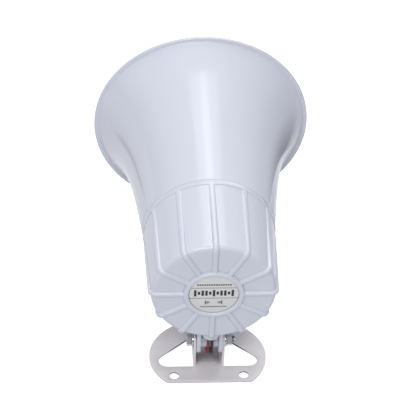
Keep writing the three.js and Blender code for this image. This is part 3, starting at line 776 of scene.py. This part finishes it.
def ear_span(u, foot, tip):
    """The ear's lowest and highest y at a distance u from the fold."""
    tangent_u, tangent_y = ear_tangent(foot, tip)
    arc = sqrt(max(0.0, EAR_TIP_RADIUS**2 - (u - tip) ** 2))
    low = -arc if u > tip else -EAR_TIP_RADIUS
    if u > tangent_u:
        return low, arc
    share = max(0.0, (u - foot) / (tangent_u - foot))
    return low, EAR_FRONT_Y + (tangent_y - EAR_FRONT_Y) * share


def ear_rows(foot, tip, straight=14, rounding=18):
    """Distances from the fold: evenly up the sloping edge, then closer together round the tip."""
    start = ear_tangent(foot, tip)[0]
    return evenly(foot, start, straight)[:-1] + crowding(start, tip + EAR_TIP_RADIUS, rounding)


def encloses(loop, point):
    """Whether a closed loop of (x, y) points goes round the point."""
    crossings = 0
    for (x0, y0), (x1, y1) in pairwise([*loop, loop[0]]):
        if (y0 > point.y) != (y1 > point.y):
            crossings += point.x < x0 + (x1 - x0) * (point.y - y0) / (y1 - y0)
    return crossings % 2 == 1


def flat_plate():
    """The plate's middle surface, with its windows and screw holes left out."""
    edge_angle = asin((PLATE_EDGE_Y - PLATE_CENTRE_Y) / PLATE_HALF_LENGTH)
    rim = []
    for turn in evenly(edge_angle, pi - edge_angle, 120):
        rim.append((PLATE_HALF_WIDTH * cos(turn), PLATE_CENTRE_Y + PLATE_HALF_LENGTH * sin(turn)))
    loops = [rim] + [circle(x, y, FIXING_RADIUS) for x, y in FIXINGS]
    rows = ear_rows(BEND_START, WINDOW_TIP_X)
    spans = [ear_span(u, BEND_START, WINDOW_TIP_X) for u in rows]
    for side in (-1, 1):
        lower = [(side * u, low) for u, (low, high) in zip(rows, spans)]
        upper = [(side * u, high) for u, (low, high) in zip(rows, spans)]
        fold = [(side * BEND_START, y) for y in FOLD_LINE]
        loops.append(lower + upper[-2:0:-1] + fold[:0:-1])
    points, edges = [], []
    for loop in loops:
        first = len(points)
        points += [Vector(p) for p in loop]
        edges += [(first + k, first + (k + 1) % len(loop)) for k in range(len(loop))]
    inside_outlines = 1
    places, _, triangles = delaunay_2d_cdt(points, edges, [], inside_outlines, 1e-5)[:3]
    bm = bmesh.new()
    verts = [bm.verts.new((p.x, p.y, SHEET / 2)) for p in places]
    for face in triangles:
        middle = sum((places[k] for k in face), Vector((0, 0))) / 3
        if not any(encloses(loop, middle) for loop in loops[1:]):
            bm.faces.new([verts[k] for k in face])
    return bm


def folded(side, u, y):
    """A point of the ear's middle surface, at u along the sheet from the start of the bend."""
    turn = min(u, BEND_LENGTH) / BEND_MIDDLE
    rise = max(0.0, u - BEND_LENGTH)
    across = BEND_START + BEND_MIDDLE * sin(turn)
    return (side * across, y, SHEET / 2 + BEND_MIDDLE * (1 - cos(turn)) + rise)


def ear(side):
    """The bend and the ear that stands up from it, as rows of points."""
    shares = [(y + EAR_TIP_RADIUS) / (EAR_FRONT_Y + EAR_TIP_RADIUS) for y in FOLD_LINE]
    bend = evenly(0, BEND_LENGTH, 6)[:-1]
    bm = bmesh.new()
    grid = []
    for u in bend + ear_rows(BEND_LENGTH, EAR_TIP)[:-1]:
        low, high = ear_span(max(u, BEND_LENGTH), BEND_LENGTH, EAR_TIP)
        grid.append([bm.verts.new(folded(side, u, low + (high - low) * share)) for share in shares])
    for a, b in pairwise(grid):
        for k in range(len(shares) - 1):
            bm.faces.new((a[k], a[k + 1], b[k + 1], b[k]))
    end = bm.verts.new(folded(side, EAR_TIP + EAR_TIP_RADIUS, 0))
    for k in range(len(shares) - 1):
        bm.faces.new((grid[-1][k], grid[-1][k + 1], end))
    return bm


def bracket():
    """The sheet thickened, drilled for the bolt, with its edges rounded."""
    sheet = merged(flat_plate(), ear(-1), ear(1))
    bmesh.ops.remove_doubles(sheet, verts=sheet.verts, dist=1e-3)
    bmesh.ops.recalc_face_normals(sheet, faces=sheet.faces)
    thick = shaped(sheet, "SOLIDIFY", thickness=SHEET, offset=0.0, use_even_offset=True)
    reach = EAR_OUTER_X + 1
    drilled = combined(thick, removed=[turned(rod(BOLT_HOLE_RADIUS, -reach, reach), PIVOT_ACROSS)])
    sharp = radians(50)
    return shaped(drilled, "BEVEL", width=0.18, segments=2, limit_method="ANGLE", angle_limit=sharp)


piece("bracket_sheet", "bracket", bracket(), sharp=25)

# ---- Pivot hardware ----


def hexagon_ring(y, grow=0.0, chamfer=0.0, sides=72):
    """A hexagon of points round the Y axis. The chamfer pulls its corners in along y."""
    ring = []
    for turn in full_turn(sides):
        radius = (HEX / 2 + grow) / cos((turn + pi / 6) % (pi / 3) - pi / 6)
        drop = max(0.0, radius - HEX / 2) * chamfer
        ring.append((radius * sin(turn), y + drop, radius * cos(turn)))
    return ring


HEX_CHAMFER = tan(radians(30))


def hexagon_nut(start, end, bore):
    face = HEX / 2 * 0.96
    rings = [
        round_ring(bore, start + 0.5),
        round_ring(bore + 0.5, start),
        round_ring(face, start),
        hexagon_ring(start, chamfer=HEX_CHAMFER),
        hexagon_ring(end, chamfer=-HEX_CHAMFER),
        round_ring(face, end),
        round_ring(bore + 0.5, end),
        round_ring(bore, end - 0.5),
    ]
    return skin(rings, closed=True)


def threaded_bar(radius, start, thread_from, end, pitch=0.8, sides=48):
    """A bar along Y with a helical thread from thread_from to its chamfered end."""
    depth = 0.61 * pitch
    rings = [[(0, start, 0)]]
    rings_per_turn = 8
    count = int((end - thread_from) / pitch * rings_per_turn)
    for y in [start, thread_from - 0.1, *evenly(thread_from, end, count)]:
        ring = []
        for k in range(sides):
            turn = 2 * pi * k / sides
            wave = abs(((y / pitch - k / sides) % 1.0) - 0.5) * 2
            fade = min(1.0, max(0.0, (y - thread_from) / pitch))
            taper = max(0.0, y - end + depth * 1.2)
            reach = min(radius - fade * depth * wave, radius - taper)
            ring.append((reach * sin(turn), y, reach * cos(turn)))
        rings.append(ring)
    rings.append([(0, end, 0)])
    return skin(rings)


def pivot_bolt():
    """A hex-head bolt with a shallow dish in its head."""
    under_head = -BOLT_HEAD_X
    head_top = under_head - HEAD_HEIGHT
    dish = 0.25
    head_rings = [
        [(0, head_top + dish, 0)],
        round_ring(2.4, head_top + dish),
        round_ring(3.0, head_top),
        round_ring(HEX / 2 * 0.94, head_top),
        hexagon_ring(head_top, chamfer=HEX_CHAMFER),
        hexagon_ring(under_head - 0.15),
        hexagon_ring(under_head, grow=-0.12),
        [(0, under_head, 0)],
    ]
    bar = threaded_bar(BOLT_RADIUS, under_head - 1, 4.0, BOLT_TIP)
    return turned(combined(skin(head_rings), added=[bar]), PIVOT_ACROSS)


def washer():
    return lathed([
        (BOLT_HOLE_RADIUS, WASHER_X, 0.12),
        (WASHER_RADIUS, WASHER_X, 0.2),
        (WASHER_RADIUS, WASHER_X + WASHER, 0.35),
        (BOLT_HOLE_RADIUS, WASHER_X + WASHER, 0.12),
    ], 96, steps=3)


fine("pivot_bolt", pivot_bolt())
fine("pivot_nut", turned(hexagon_nut(NUT_X, NUT_X + NUT_HEIGHT, BOLT_HOLE_RADIUS), PIVOT_ACROSS))
fine("washer_right", turned(washer(), PIVOT_ACROSS))
fine("washer_left", turned(washer(), PIVOT_ACROSS @ HALF_TURN))

# ---- Wires and grommet ----


def smooth_path(points, per_span=10):
    """Points on a centripetal Catmull-Rom curve through the given ones."""
    points = [Vector(p) for p in points]
    ends = [points[0] * 2 - points[1], *points, points[-1] * 2 - points[-2]]
    path = []
    for a, b, c, d in zip(ends, ends[1:], ends[2:], ends[3:]):
        knots = [0.0]
        for p, q in pairwise((a, b, c, d)):
            knots.append(knots[-1] + max(1e-4, (q - p).length ** 0.5))
        t0, t1, t2, t3 = knots
        for k in range(per_span):
            t = t1 + (t2 - t1) * k / per_span
            ab = a.lerp(b, (t - t0) / (t1 - t0))
            bc = b.lerp(c, (t - t1) / (t2 - t1))
            cd = c.lerp(d, (t - t2) / (t3 - t2))
            abc = ab.lerp(bc, (t - t0) / (t2 - t0))
            bcd = bc.lerp(cd, (t - t1) / (t3 - t1))
            path.append(abc.lerp(bcd, (t - t1) / (t2 - t1)))
    return path + [points[-1]]


def swept(path, radius, sides=20, ends=0.25):
    """A round bar along a path, with small rounded ends."""
    aside = Vector((1, 0, 0))
    rings = [[path[0]]]
    last = len(path) - 1
    for k, point in enumerate(path):
        along = (path[min(k + 1, last)] - path[max(k - 1, 0)]).normalized()
        aside = (aside - along * aside.dot(along)).normalized()
        over = along.cross(aside)
        reach = radius * (1 - ends if k in (0, last) else 1)
        rings.append([point + (aside * cos(t) + over * sin(t)) * reach for t in full_turn(sides)])
    rings.append([path[-1]])
    return skin(rings)


def lead_path(side):
    """From the board, down out of the outlet, under the cross tube and forward below the horn."""
    x = side * WIRE_X
    return smooth_path([
        (x, BOARD_Y - 1.2, -16.4), (x, CABLE_Y, -21),
        (x, CABLE_Y, -34), (x, CABLE_Y, -47),
        (x, CABLE_Y - 0.4, PIVOT_Z + 3.5), (x, CABLE_Y + 2.1, PIVOT_Z - 5.5),
        (x * 1.1, PIVOT_Y + 1.5, PIVOT_Z - CROSS_TUBE_RADIUS - 3.8),
        (x * 1.3, PIVOT_Y + 13.5, PIVOT_Z - 2.5), (x * 1.5, 48, -54.5),
        (x * 1.8, 66, -51.5), (x * 2.2, 84, -53.5),
        (x * 3, 100, -57.5),
    ])


def strands(side, count=7):
    """The bared end: fine tinned strands with a slight twist."""
    start = Vector((side * WIRE_X * 3.02, 100.2, -57.55))
    end = Vector((side * WIRE_X * 3.28, 104.9, -58.75))
    steps = 8
    twist = 0.16
    made = []
    for k in range(count):
        spread = 0.0 if k == 0 else 0.36
        path = []
        for step in range(steps + 1):
            turn = 2 * pi * k / (count - 1) + twist * step
            offset = Vector((cos(turn), 0, sin(turn))) * spread
            path.append(start.lerp(end, step / steps) + offset)
        made.append(swept(path, STRAND_RADIUS, sides=10))
    return merged(*made)


def coil_lead_path(side):
    """From the board, round the outside of the driver to its frame."""
    return smooth_path([
        (side * 22, BOARD_FRONT + 0.3, 4),
        (side * 26, 22, 4.5),
        (side * 33.5, 29, 5),
        (side * 33.5, 45, 5),
        (side * 31.5, 53, 4.5),
    ])


for side, colour in ((-1, "red"), (1, "black")):
    coil_lead = swept(coil_lead_path(side), COIL_LEAD_RADIUS, sides=16)
    piece(f"lead_{colour}", f"lead_wire_{colour}", swept(lead_path(side), WIRE_RADIUS))
    piece(f"strands_{colour}", f"wire_end_{colour}", strands(side))
    piece(f"coil_tail_{colour}", f"coil_lead_{colour}", coil_lead)


def grommet():
    """A rubber bush in the cable hole, drawn with y as the distance below the horn axis."""
    foot = -OUTLET_Z + OUTLET_RADIUS
    top = -OUTLET_Z - 3.5
    bore, neck, flange = 2.4, 2.9, 4.1
    bush = lathed([
        (bore, top, 0.2), (neck, top, 0.2),
        (neck, foot + 0.1, 0), (flange, foot + 0.1, 0.2),
        (flange, foot + 1.2, 0.4), (bore, foot + 1.2, 0.3),
    ], 64, steps=4)
    return turned(bush, CABLE_DOWN)


piece("grommet", "cable_grommet", grommet())

# ---- Inner horn ----


def throat_tube():
    """The tube that carries the sound forward, with a flange against the bulkhead."""
    seat = BELL_REAR + BULKHEAD + 0.1
    bore, spigot, flange = 8, THROAT_HOLE - 0.4, 22
    return lathed([
        (bore, BELL_REAR, 0.3), (spigot, BELL_REAR, 0.2),
        (spigot, seat, 0), (flange, seat, 0.2),
        (flange, seat + 2, 0.6), (12.2, seat + 3.5, 2.5),
        (TUBE_OUTER, CUP_REAR, 1), (TUBE_OUTER, TUBE_END, 0.5),
        (TUBE_OUTER - 2, TUBE_END, 0.5),
    ])


def nose(radius, length, steps=24):
    """A dome's outline, from its rim to its tip."""
    return [(radius * cos(t), NOSE_START + length * sin(t)) for t in evenly(0, pi / 2, steps)]


def fin(turn):
    inner, outer = TUBE_OUTER + 1, CUP_RADIUS - 1
    rear, front = CUP_REAR + 4, CUP_REAR + 20
    plate = slab([(inner, rear), (outer, rear), (outer, front), (inner, front)], -0.9, 0.9, edge=0.25)
    return turned(plate, Matrix.Rotation(turn, 4, "Y"))


def reflector():
    """The cup that turns the sound back, with its sleeve on the throat tube and four fins."""
    wall = 2
    rim = rounded([
        (CUP_RADIUS - wall, CUP_REAR + 5, 0),
        (CUP_RADIUS - wall, CUP_REAR, 0.8),
        (CUP_RADIUS, CUP_REAR, 0.8),
        (CUP_RADIUS - 0.1, CUP_REAR + 5, 0),
    ])
    outside = nose(CUP_RADIUS - 0.6, NOSE_LENGTH)
    inside = nose(CUP_RADIUS - 0.6 - wall, NOSE_LENGTH - wall)
    sleeve = lathed([
        (TUBE_OUTER + 0.2, CUP_REAR + 2, 0.2),
        (TUBE_OUTER + 2, CUP_REAR + 2, 0.3),
        (TUBE_OUTER + 2, CUP_REAR + 22, 0.3),
        (TUBE_OUTER + 0.2, CUP_REAR + 22, 0.2),
    ], steps=2)
    fins = [fin(pi / 4 + turn) for turn in full_turn(4)]
    return combined(revolve(rim + outside + inside[::-1]), added=[sleeve, *fins])


piece("throat_moulding", "throat_tube", throat_tube())
piece("reflector_moulding", "reflector", reflector())

# ---- Screws ----


def pan_screw(head_radius, head_height, shank_radius, length):
    """A cross-recess pan-head screw along Y, with its head towards -y and a shallow thread."""
    head = lathed([
        (0, -head_height, 0),
        (head_radius * 0.8, -head_height, head_height * 0.5),
        (head_radius, -head_height * 0.3, head_height * 0.25),
        (head_radius, 0, 0.1),
        (0, 0, 0),
    ], 64)
    bar = threaded_bar(shank_radius, -0.3, 0.8, length, pitch=1.2, sides=28)
    reach, width = head_radius * 0.62, head_radius * 0.12
    above, depth = -0.1, head_height * 0.62
    cuts = []
    for k in range(2):
        cut = slab([(-reach, -width), (reach, -width), (reach, width), (-reach, width)], above, depth, edge=0)
        floor = [v for v in cut.verts if v.co.z > 0]
        bmesh.ops.scale(cut, verts=floor, vec=(0.45, 0.8, 1))
        cut.transform(shift(0, -head_height, 0) @ Y_TO_DOWN)
        cuts.append(turned(cut, Matrix.Rotation(pi / 2 * k, 4, "Y")))
    return combined(head, added=[bar], removed=cuts)


def add_screws(name, sizes, places):
    master = pan_screw(*sizes)
    for k, place in enumerate(places, start=1):
        piece(f"{name}_fine_{k}", f"{name}_{k}", turned(master.copy(), place))
    master.free()


cover_seat = shift(0, BELL_REAR + BULKHEAD + 0.1, 0) @ HALF_TURN
driver_seat = shift(0, FRAME_SEAT - 0.1, 0)
cover_corners = round_axis(COVER_SCREW_RADIUS, 4, pi / 4)
driver_corners = round_axis(DRIVER_SCREW_RADIUS, 4)
board_places = [shift(x, BOARD_FRONT, z) @ HALF_TURN for x, z in BOARD_POSTS]
add_screws("cover_screw", COVER_SCREW, [corner @ cover_seat for corner in cover_corners])
add_screws("driver_screw", DRIVER_SCREW, [corner @ driver_seat for corner in driver_corners])
add_screws("board_screw", BOARD_SCREW, board_places)

# ---- Compression driver and seals ----


def tube(inner, outer, low, high, edge=0.3):
    return lathed([(inner, low, edge), (outer, low, edge), (outer, high, edge), (inner, high, edge)], 128)


def driver_yoke():
    """The back plate and the pole in one turned piece, with a vent bored through it."""
    bore = 4.0
    plate_front = MAGNET_REAR - 0.1
    return lathed([
        (bore, YOKE_REAR, 0.4), (STEEL_RADIUS, YOKE_REAR, 0.9),
        (STEEL_RADIUS, plate_front, 0.4), (POLE_RADIUS, plate_front, 0.6),
        (POLE_RADIUS, POLE_FRONT, 0.6), (bore, POLE_FRONT, 0.4),
    ])


def winding(inner, low, high, turns, wire):
    """Outline points of a close-wound coil's outside, one ridge for each turn of wire."""
    pitch = (high - low) / turns
    steps = 4
    points = []
    for k in range(turns * steps):
        ridge = sin(pi * (k % steps) / steps)
        points.append((inner + wire * (0.6 + 0.4 * ridge), low + pitch * k / steps))
    return points + [(inner + wire * 0.6, high)]


def voice_coil():
    inner, low, high = FORMER_RADIUS + 0.1, FORMER_REAR + 1, FORMER_REAR + 6
    return revolve([(inner, high), (inner, low), *winding(inner, low, high, turns=14, wire=0.3)], 96)


def diaphragm():
    """The dome, its waved surround and the tube that carries the coil, as one thin shell."""
    film = 0.35
    dome_height = 2.8
    wave_depth = 0.12
    waves = 3
    steps = 12
    dome = [(FORMER_RADIUS * k / steps, dome_height * (1 - (k / steps) ** 2)) for k in range(steps)]
    surround = []
    for share in evenly(0, 1, 2 * steps):
        radius = FORMER_RADIUS + (DIAPHRAGM_RADIUS - FORMER_RADIUS) * share
        surround.append((radius, wave_depth * sin(2 * pi * waves * share)))
    front = dome + surround
    inside = FORMER_RADIUS - 0.4
    outline = [(radius, DIAPHRAGM_Y + film + rise) for radius, rise in front]
    outline += [(radius, DIAPHRAGM_Y + rise) for radius, rise in surround[::-1]]
    outline += [(FORMER_RADIUS, FORMER_REAR), (inside, FORMER_REAR), (inside, DIAPHRAGM_Y)]
    outline += [(radius, DIAPHRAGM_Y + rise) for radius, rise in dome[::-1]]
    return revolve(outline, 96)


def diaphragm_frame():
    """The clamping ring in front of the diaphragm, notched for the cover screws and drilled for its own."""
    mouth = 8.5
    notch, hole = 4.2, 2.1
    pocket = DIAPHRAGM_RADIUS + 0.8
    disc = lathed([
        (mouth, FRAME_FRONT, 0.5), (FRAME_RADIUS, FRAME_FRONT, 0.6),
        (FRAME_RADIUS, FRAME_SEAT, 0.3), (STEEL_RADIUS, FRAME_SEAT, 0.3),
        (STEEL_RADIUS, FRAME_REAR, 0.4), (pocket, FRAME_REAR, 0.4),
        (pocket, 56.3, 0.4), (mouth, 58, 0.6),
    ], 128)
    low, high = FRAME_REAR - 1, FRAME_FRONT + 1
    notches = [turned(rod(notch, low, high), corner) for corner in cover_corners]
    holes = [turned(rod(hole, low, high), corner) for corner in driver_corners]
    return combined(disc, removed=notches + holes)


fine("driver_yoke", driver_yoke())
fine("driver_magnet", tube(MAGNET_BORE, MAGNET_RADIUS, MAGNET_REAR, MAGNET_FRONT, 0.8))
fine("driver_top_plate", tube(GAP_RADIUS, STEEL_RADIUS, MAGNET_FRONT + 0.1, TOP_PLATE_FRONT, 0.4))
fine("diaphragm_frame", diaphragm_frame())
fine("driver_gasket", tube(THROAT_HOLE + 1, STEEL_RADIUS, BELL_REAR - 1.6, BELL_REAR - 0.1))
fine("cover_seal", tube(SEAL_INNER, SEAL_OUTER, COVER_LENGTH - 2, COVER_LENGTH, 0.25))
fine("diaphragm", diaphragm())
fine("voice_coil", voice_coil())

# ---- Circuit board ----

POWER_X = 8  # the transistor and its heat sink


def on_board(x, z, width, height, low, high, corner=0.4, edge=0.3):
    """A block standing on the board's front, from low to high above it."""
    return block(x, z, width, height, BOARD_FRONT + low, BOARD_FRONT + high, corner, edge)


def circuit_board():
    board = block(0, 0, BOARD_WIDTH, BOARD_HEIGHT, BOARD_Y, BOARD_FRONT - 0.1, corner=1.5, edge=0.1)
    hole = 1.6
    holes = []
    for x, z in BOARD_POSTS:
        holes.append(turned(rod(hole, BOARD_Y - 1, BOARD_FRONT + 1), shift(x, 0, z)))
    return combined(board, removed=holes)


def tone_chip():
    x, z = -8, 2
    pin_pitch = 2.3
    parts = [on_board(x, z, 9.6, 5.2, 0.5, 3.4)]
    for side in (-1, 1):
        for k in range(4):
            pin_x = x + pin_pitch * (k - 1.5)
            parts.append(on_board(pin_x, z + side * 2.9, 0.7, 0.6, 0, 2, corner=0.1, edge=0.05))
    return merged(*parts)


def capacitor():
    """A can with a crimped neck and a sunk lid."""
    can = lathed([
        (0, 0, 0), (4, 0, 0.3),
        (4, 1.2, 0.3), (3.75, 1.6, 0.2),
        (4, 2.0, 0.3), (4, 10, 0.6),
        (3.2, 10, 0.2), (3.1, 9.7, 0.1),
        (0, 9.7, 0),
    ], 64)
    return turned(can, shift(-15, BOARD_FRONT, -11))


def heat_sink():
    plate = on_board(POWER_X, 6, 16, 1.6, 0, 9, corner=0.3, edge=0.2)
    fins = [on_board(POWER_X + x, 8.5, 1.2, 6, 0, 9, corner=0.3, edge=0.2) for x in (-7.2, -2.4, 2.4, 7.2)]
    return combined(plate, added=fins)


def power_transistor():
    """A plastic body against a drilled metal tab, on three legs."""
    tab = on_board(POWER_X, 4.75, 10, 0.7, 1, 9, corner=0.1, edge=0.1)
    across = shift(POWER_X, BOARD_FRONT + 7.6, 0) @ Y_TO_DOWN
    drilled = combined(tab, removed=[turned(rod(1.1, -7, 1), across)])
    legs = [on_board(POWER_X + x, 2.6, 0.8, 0.6, 0, 1.3, corner=0.1, edge=0.05) for x in (-2.5, 0, 2.5)]
    return merged(drilled, on_board(POWER_X, 2.5, 10, 3.6, 1, 6.2), *legs)


def coupling_coil():
    """A wound bobbin with a flange at each end."""
    flange, core = 5.0, 3.7
    outline = [(0, 0), (flange, 0), (flange, 1)]
    outline += winding(core, 1, 8, turns=12, wire=0.6)
    outline += [(flange, 8), (flange, 9), (0, 9)]
    return turned(revolve(outline, 64), shift(15, BOARD_FRONT, -10))


for make in (circuit_board, tone_chip, capacitor, heat_sink, power_transistor, coupling_coil):
    fine(make.__name__, make())

# ---- Stage, light and camera, in metres ----

FLOOR_SIZE = 14
FLOOR_GLOW = 0.9
MIRRORED_GLOW = 0.42

# Where the reflected floor changes, from the start to the end of each change
FLOOR_FADE = (0.10, 0.16)
STRIP_START = (0.190, 0.200)
GAP_START = (0.197, 0.199)
GAP_SLOPE = 0.09
GAP_RIGHT = (0.09, 0.10)
GAP_LEFT_OUTER = (-0.198, -0.192)
GAP_LEFT_INNER = (-0.166, -0.160)
GAP_SHADE = (0.12, 0.32)


def mirrored_floor(g):
    """How bright and how dark the floor is to reflections.

    It is bright round the object and beyond its mouth, and dark far out on the right side. A dark gap
    crosses the bright part beyond the mouth, wide on the right side and narrow on the left.
    """
    place = g.add("ShaderNodeSeparateXYZ", Vector=g.where)
    across, along = place.outputs["X"], place.outputs["Y"]
    aside = g.math("ABSOLUTE", across)
    beyond = g.math("SUBTRACT", along, g.math("MULTIPLY", aside, GAP_SLOPE))
    right = g.ramp(across, 0.0, 1.0, *GAP_RIGHT)
    left_outer = g.ramp(across, 0.0, 1.0, *GAP_LEFT_OUTER)
    left_inner = g.ramp(across, 1.0, 0.0, *GAP_LEFT_INNER)
    sides = g.math("MAXIMUM", right, g.math("MULTIPLY", left_outer, left_inner))
    gap = g.math("MULTIPLY", g.ramp(beyond, 0.0, 1.0, *GAP_START), sides)
    near = g.ramp(across, 1.0, 0.0, *FLOOR_FADE)
    strip = g.ramp(along, 0.0, 1.0, *STRIP_START)
    bright = g.math("MULTIPLY", g.math("MAXIMUM", near, strip), g.math("SUBTRACT", 1.0, gap))
    dark = g.math("MULTIPLY", gap, g.ramp(aside, 1.0, 0.0, *GAP_SHADE))
    return bright, dark


def stage_floor():
    """A pale floor that the camera sees nearly white."""
    bpy.ops.mesh.primitive_plane_add(size=FLOOR_SIZE)
    floor = bpy.context.active_object
    floor.name = "floor"
    g = Graph("pale_floor")
    path = g.add("ShaderNodeLightPath")
    glossy = path.outputs["Is Glossy Ray"]
    # Painted reflections: only reflections see the floor's patterned glow and the black of its gap.
    bright, dark = mirrored_floor(g)
    colour = g.mix(g.noise(6), rgb(0.52, 0.52, 0.53), rgb(0.55, 0.55, 0.56))
    colour = g.mix(g.math("MULTIPLY", dark, glossy), colour, rgb(0.01, 0.01, 0.01))
    seen = g.math("MULTIPLY", path.outputs["Is Camera Ray"], FLOOR_GLOW)
    mirrored = g.math("MULTIPLY", glossy, g.math("MULTIPLY", bright, MIRRORED_GLOW))
    floor.data.materials.append(g.finish(
        Base_Color=colour,
        Roughness=0.9,
        Emission_Color=rgb(1, 1, 1),
        Emission_Strength=g.math("ADD", seen, mirrored),
        Specular_IOR_Level=0.0,
    ))


LIGHT_TARGET = Vector((0, 0.06, 0.08))


def softbox(name, place, size, power):
    light = bpy.data.lights.new(name, "AREA")
    light.shape = "RECTANGLE"
    light.size, light.size_y = size
    light.energy = power
    obj = add_object(name, light)
    obj.location = place
    obj.rotation_euler = (LIGHT_TARGET - Vector(place)).to_track_quat("-Z", "Y").to_euler()


ROOM_LIGHT = 0.42
ROOM_SEEN = 1.2


def surroundings():
    """A dim, slightly blue room round the object that the camera sees as white."""
    world = bpy.data.worlds.new("studio")
    bpy.context.scene.world = world
    world.use_nodes = True
    tree = world.node_tree
    back = tree.nodes["Background"]
    back.inputs["Color"].default_value = rgb(0.90, 0.93, 1.0)
    path = tree.nodes.new("ShaderNodeLightPath")
    strength = tree.nodes.new("ShaderNodeMapRange")
    strength.inputs["To Min"].default_value = ROOM_LIGHT
    strength.inputs["To Max"].default_value = ROOM_SEEN
    tree.links.new(path.outputs["Is Camera Ray"], strength.inputs["Value"])
    tree.links.new(strength.outputs[0], back.inputs["Strength"])


# Distances in metres, angles in degrees, the lens in millimetres on a sensor 36 mm wide
CAMERA_TARGET = Vector((-0.0001, 0.0405, 0.1008))
CAMERA_DISTANCE = 1.2433
CAMERA_AZIMUTH = 4.872
CAMERA_ELEVATION = 41.91
CAMERA_ROLL = 2.794
CAMERA_LENS = 162.857


def camera():
    data = bpy.data.cameras.new("camera")
    data.lens = CAMERA_LENS
    obj = add_object("camera", data)
    azimuth, elevation = radians(CAMERA_AZIMUTH), radians(CAMERA_ELEVATION)
    look = Vector((
        sin(azimuth) * cos(elevation),
        cos(azimuth) * cos(elevation),
        -sin(elevation),
    ))
    obj.location = CAMERA_TARGET - look * CAMERA_DISTANCE
    roll = Matrix.Rotation(radians(CAMERA_ROLL), 3, "Z")
    obj.rotation_euler = (look.to_track_quat("-Z", "Y").to_matrix() @ roll).to_euler()
    bpy.context.scene.camera = obj


stage_floor()
surroundings()
softbox("overhead", (0.1, 0.3, 1.7), (1.4, 1.6), 3.2)
softbox("streak", (0.05, 0.82, 1.5), (0.24, 1.2), 1.6)
softbox("streak_glow", (0.05, 0.82, 1.51), (0.85, 1.2), 5.0)
softbox("camera_side", (-0.3, -1.35, 1.6), (1.4, 0.8), 21)
softbox("left_side", (-1.5, -0.1, 0.7), (1.0, 1.0), 1.2)
softbox("mouth_side", (0.5, 1.9, 0.8), (1.4, 1.0), 7)
bpy.context.scene.view_settings.view_transform = "Standard"
camera()
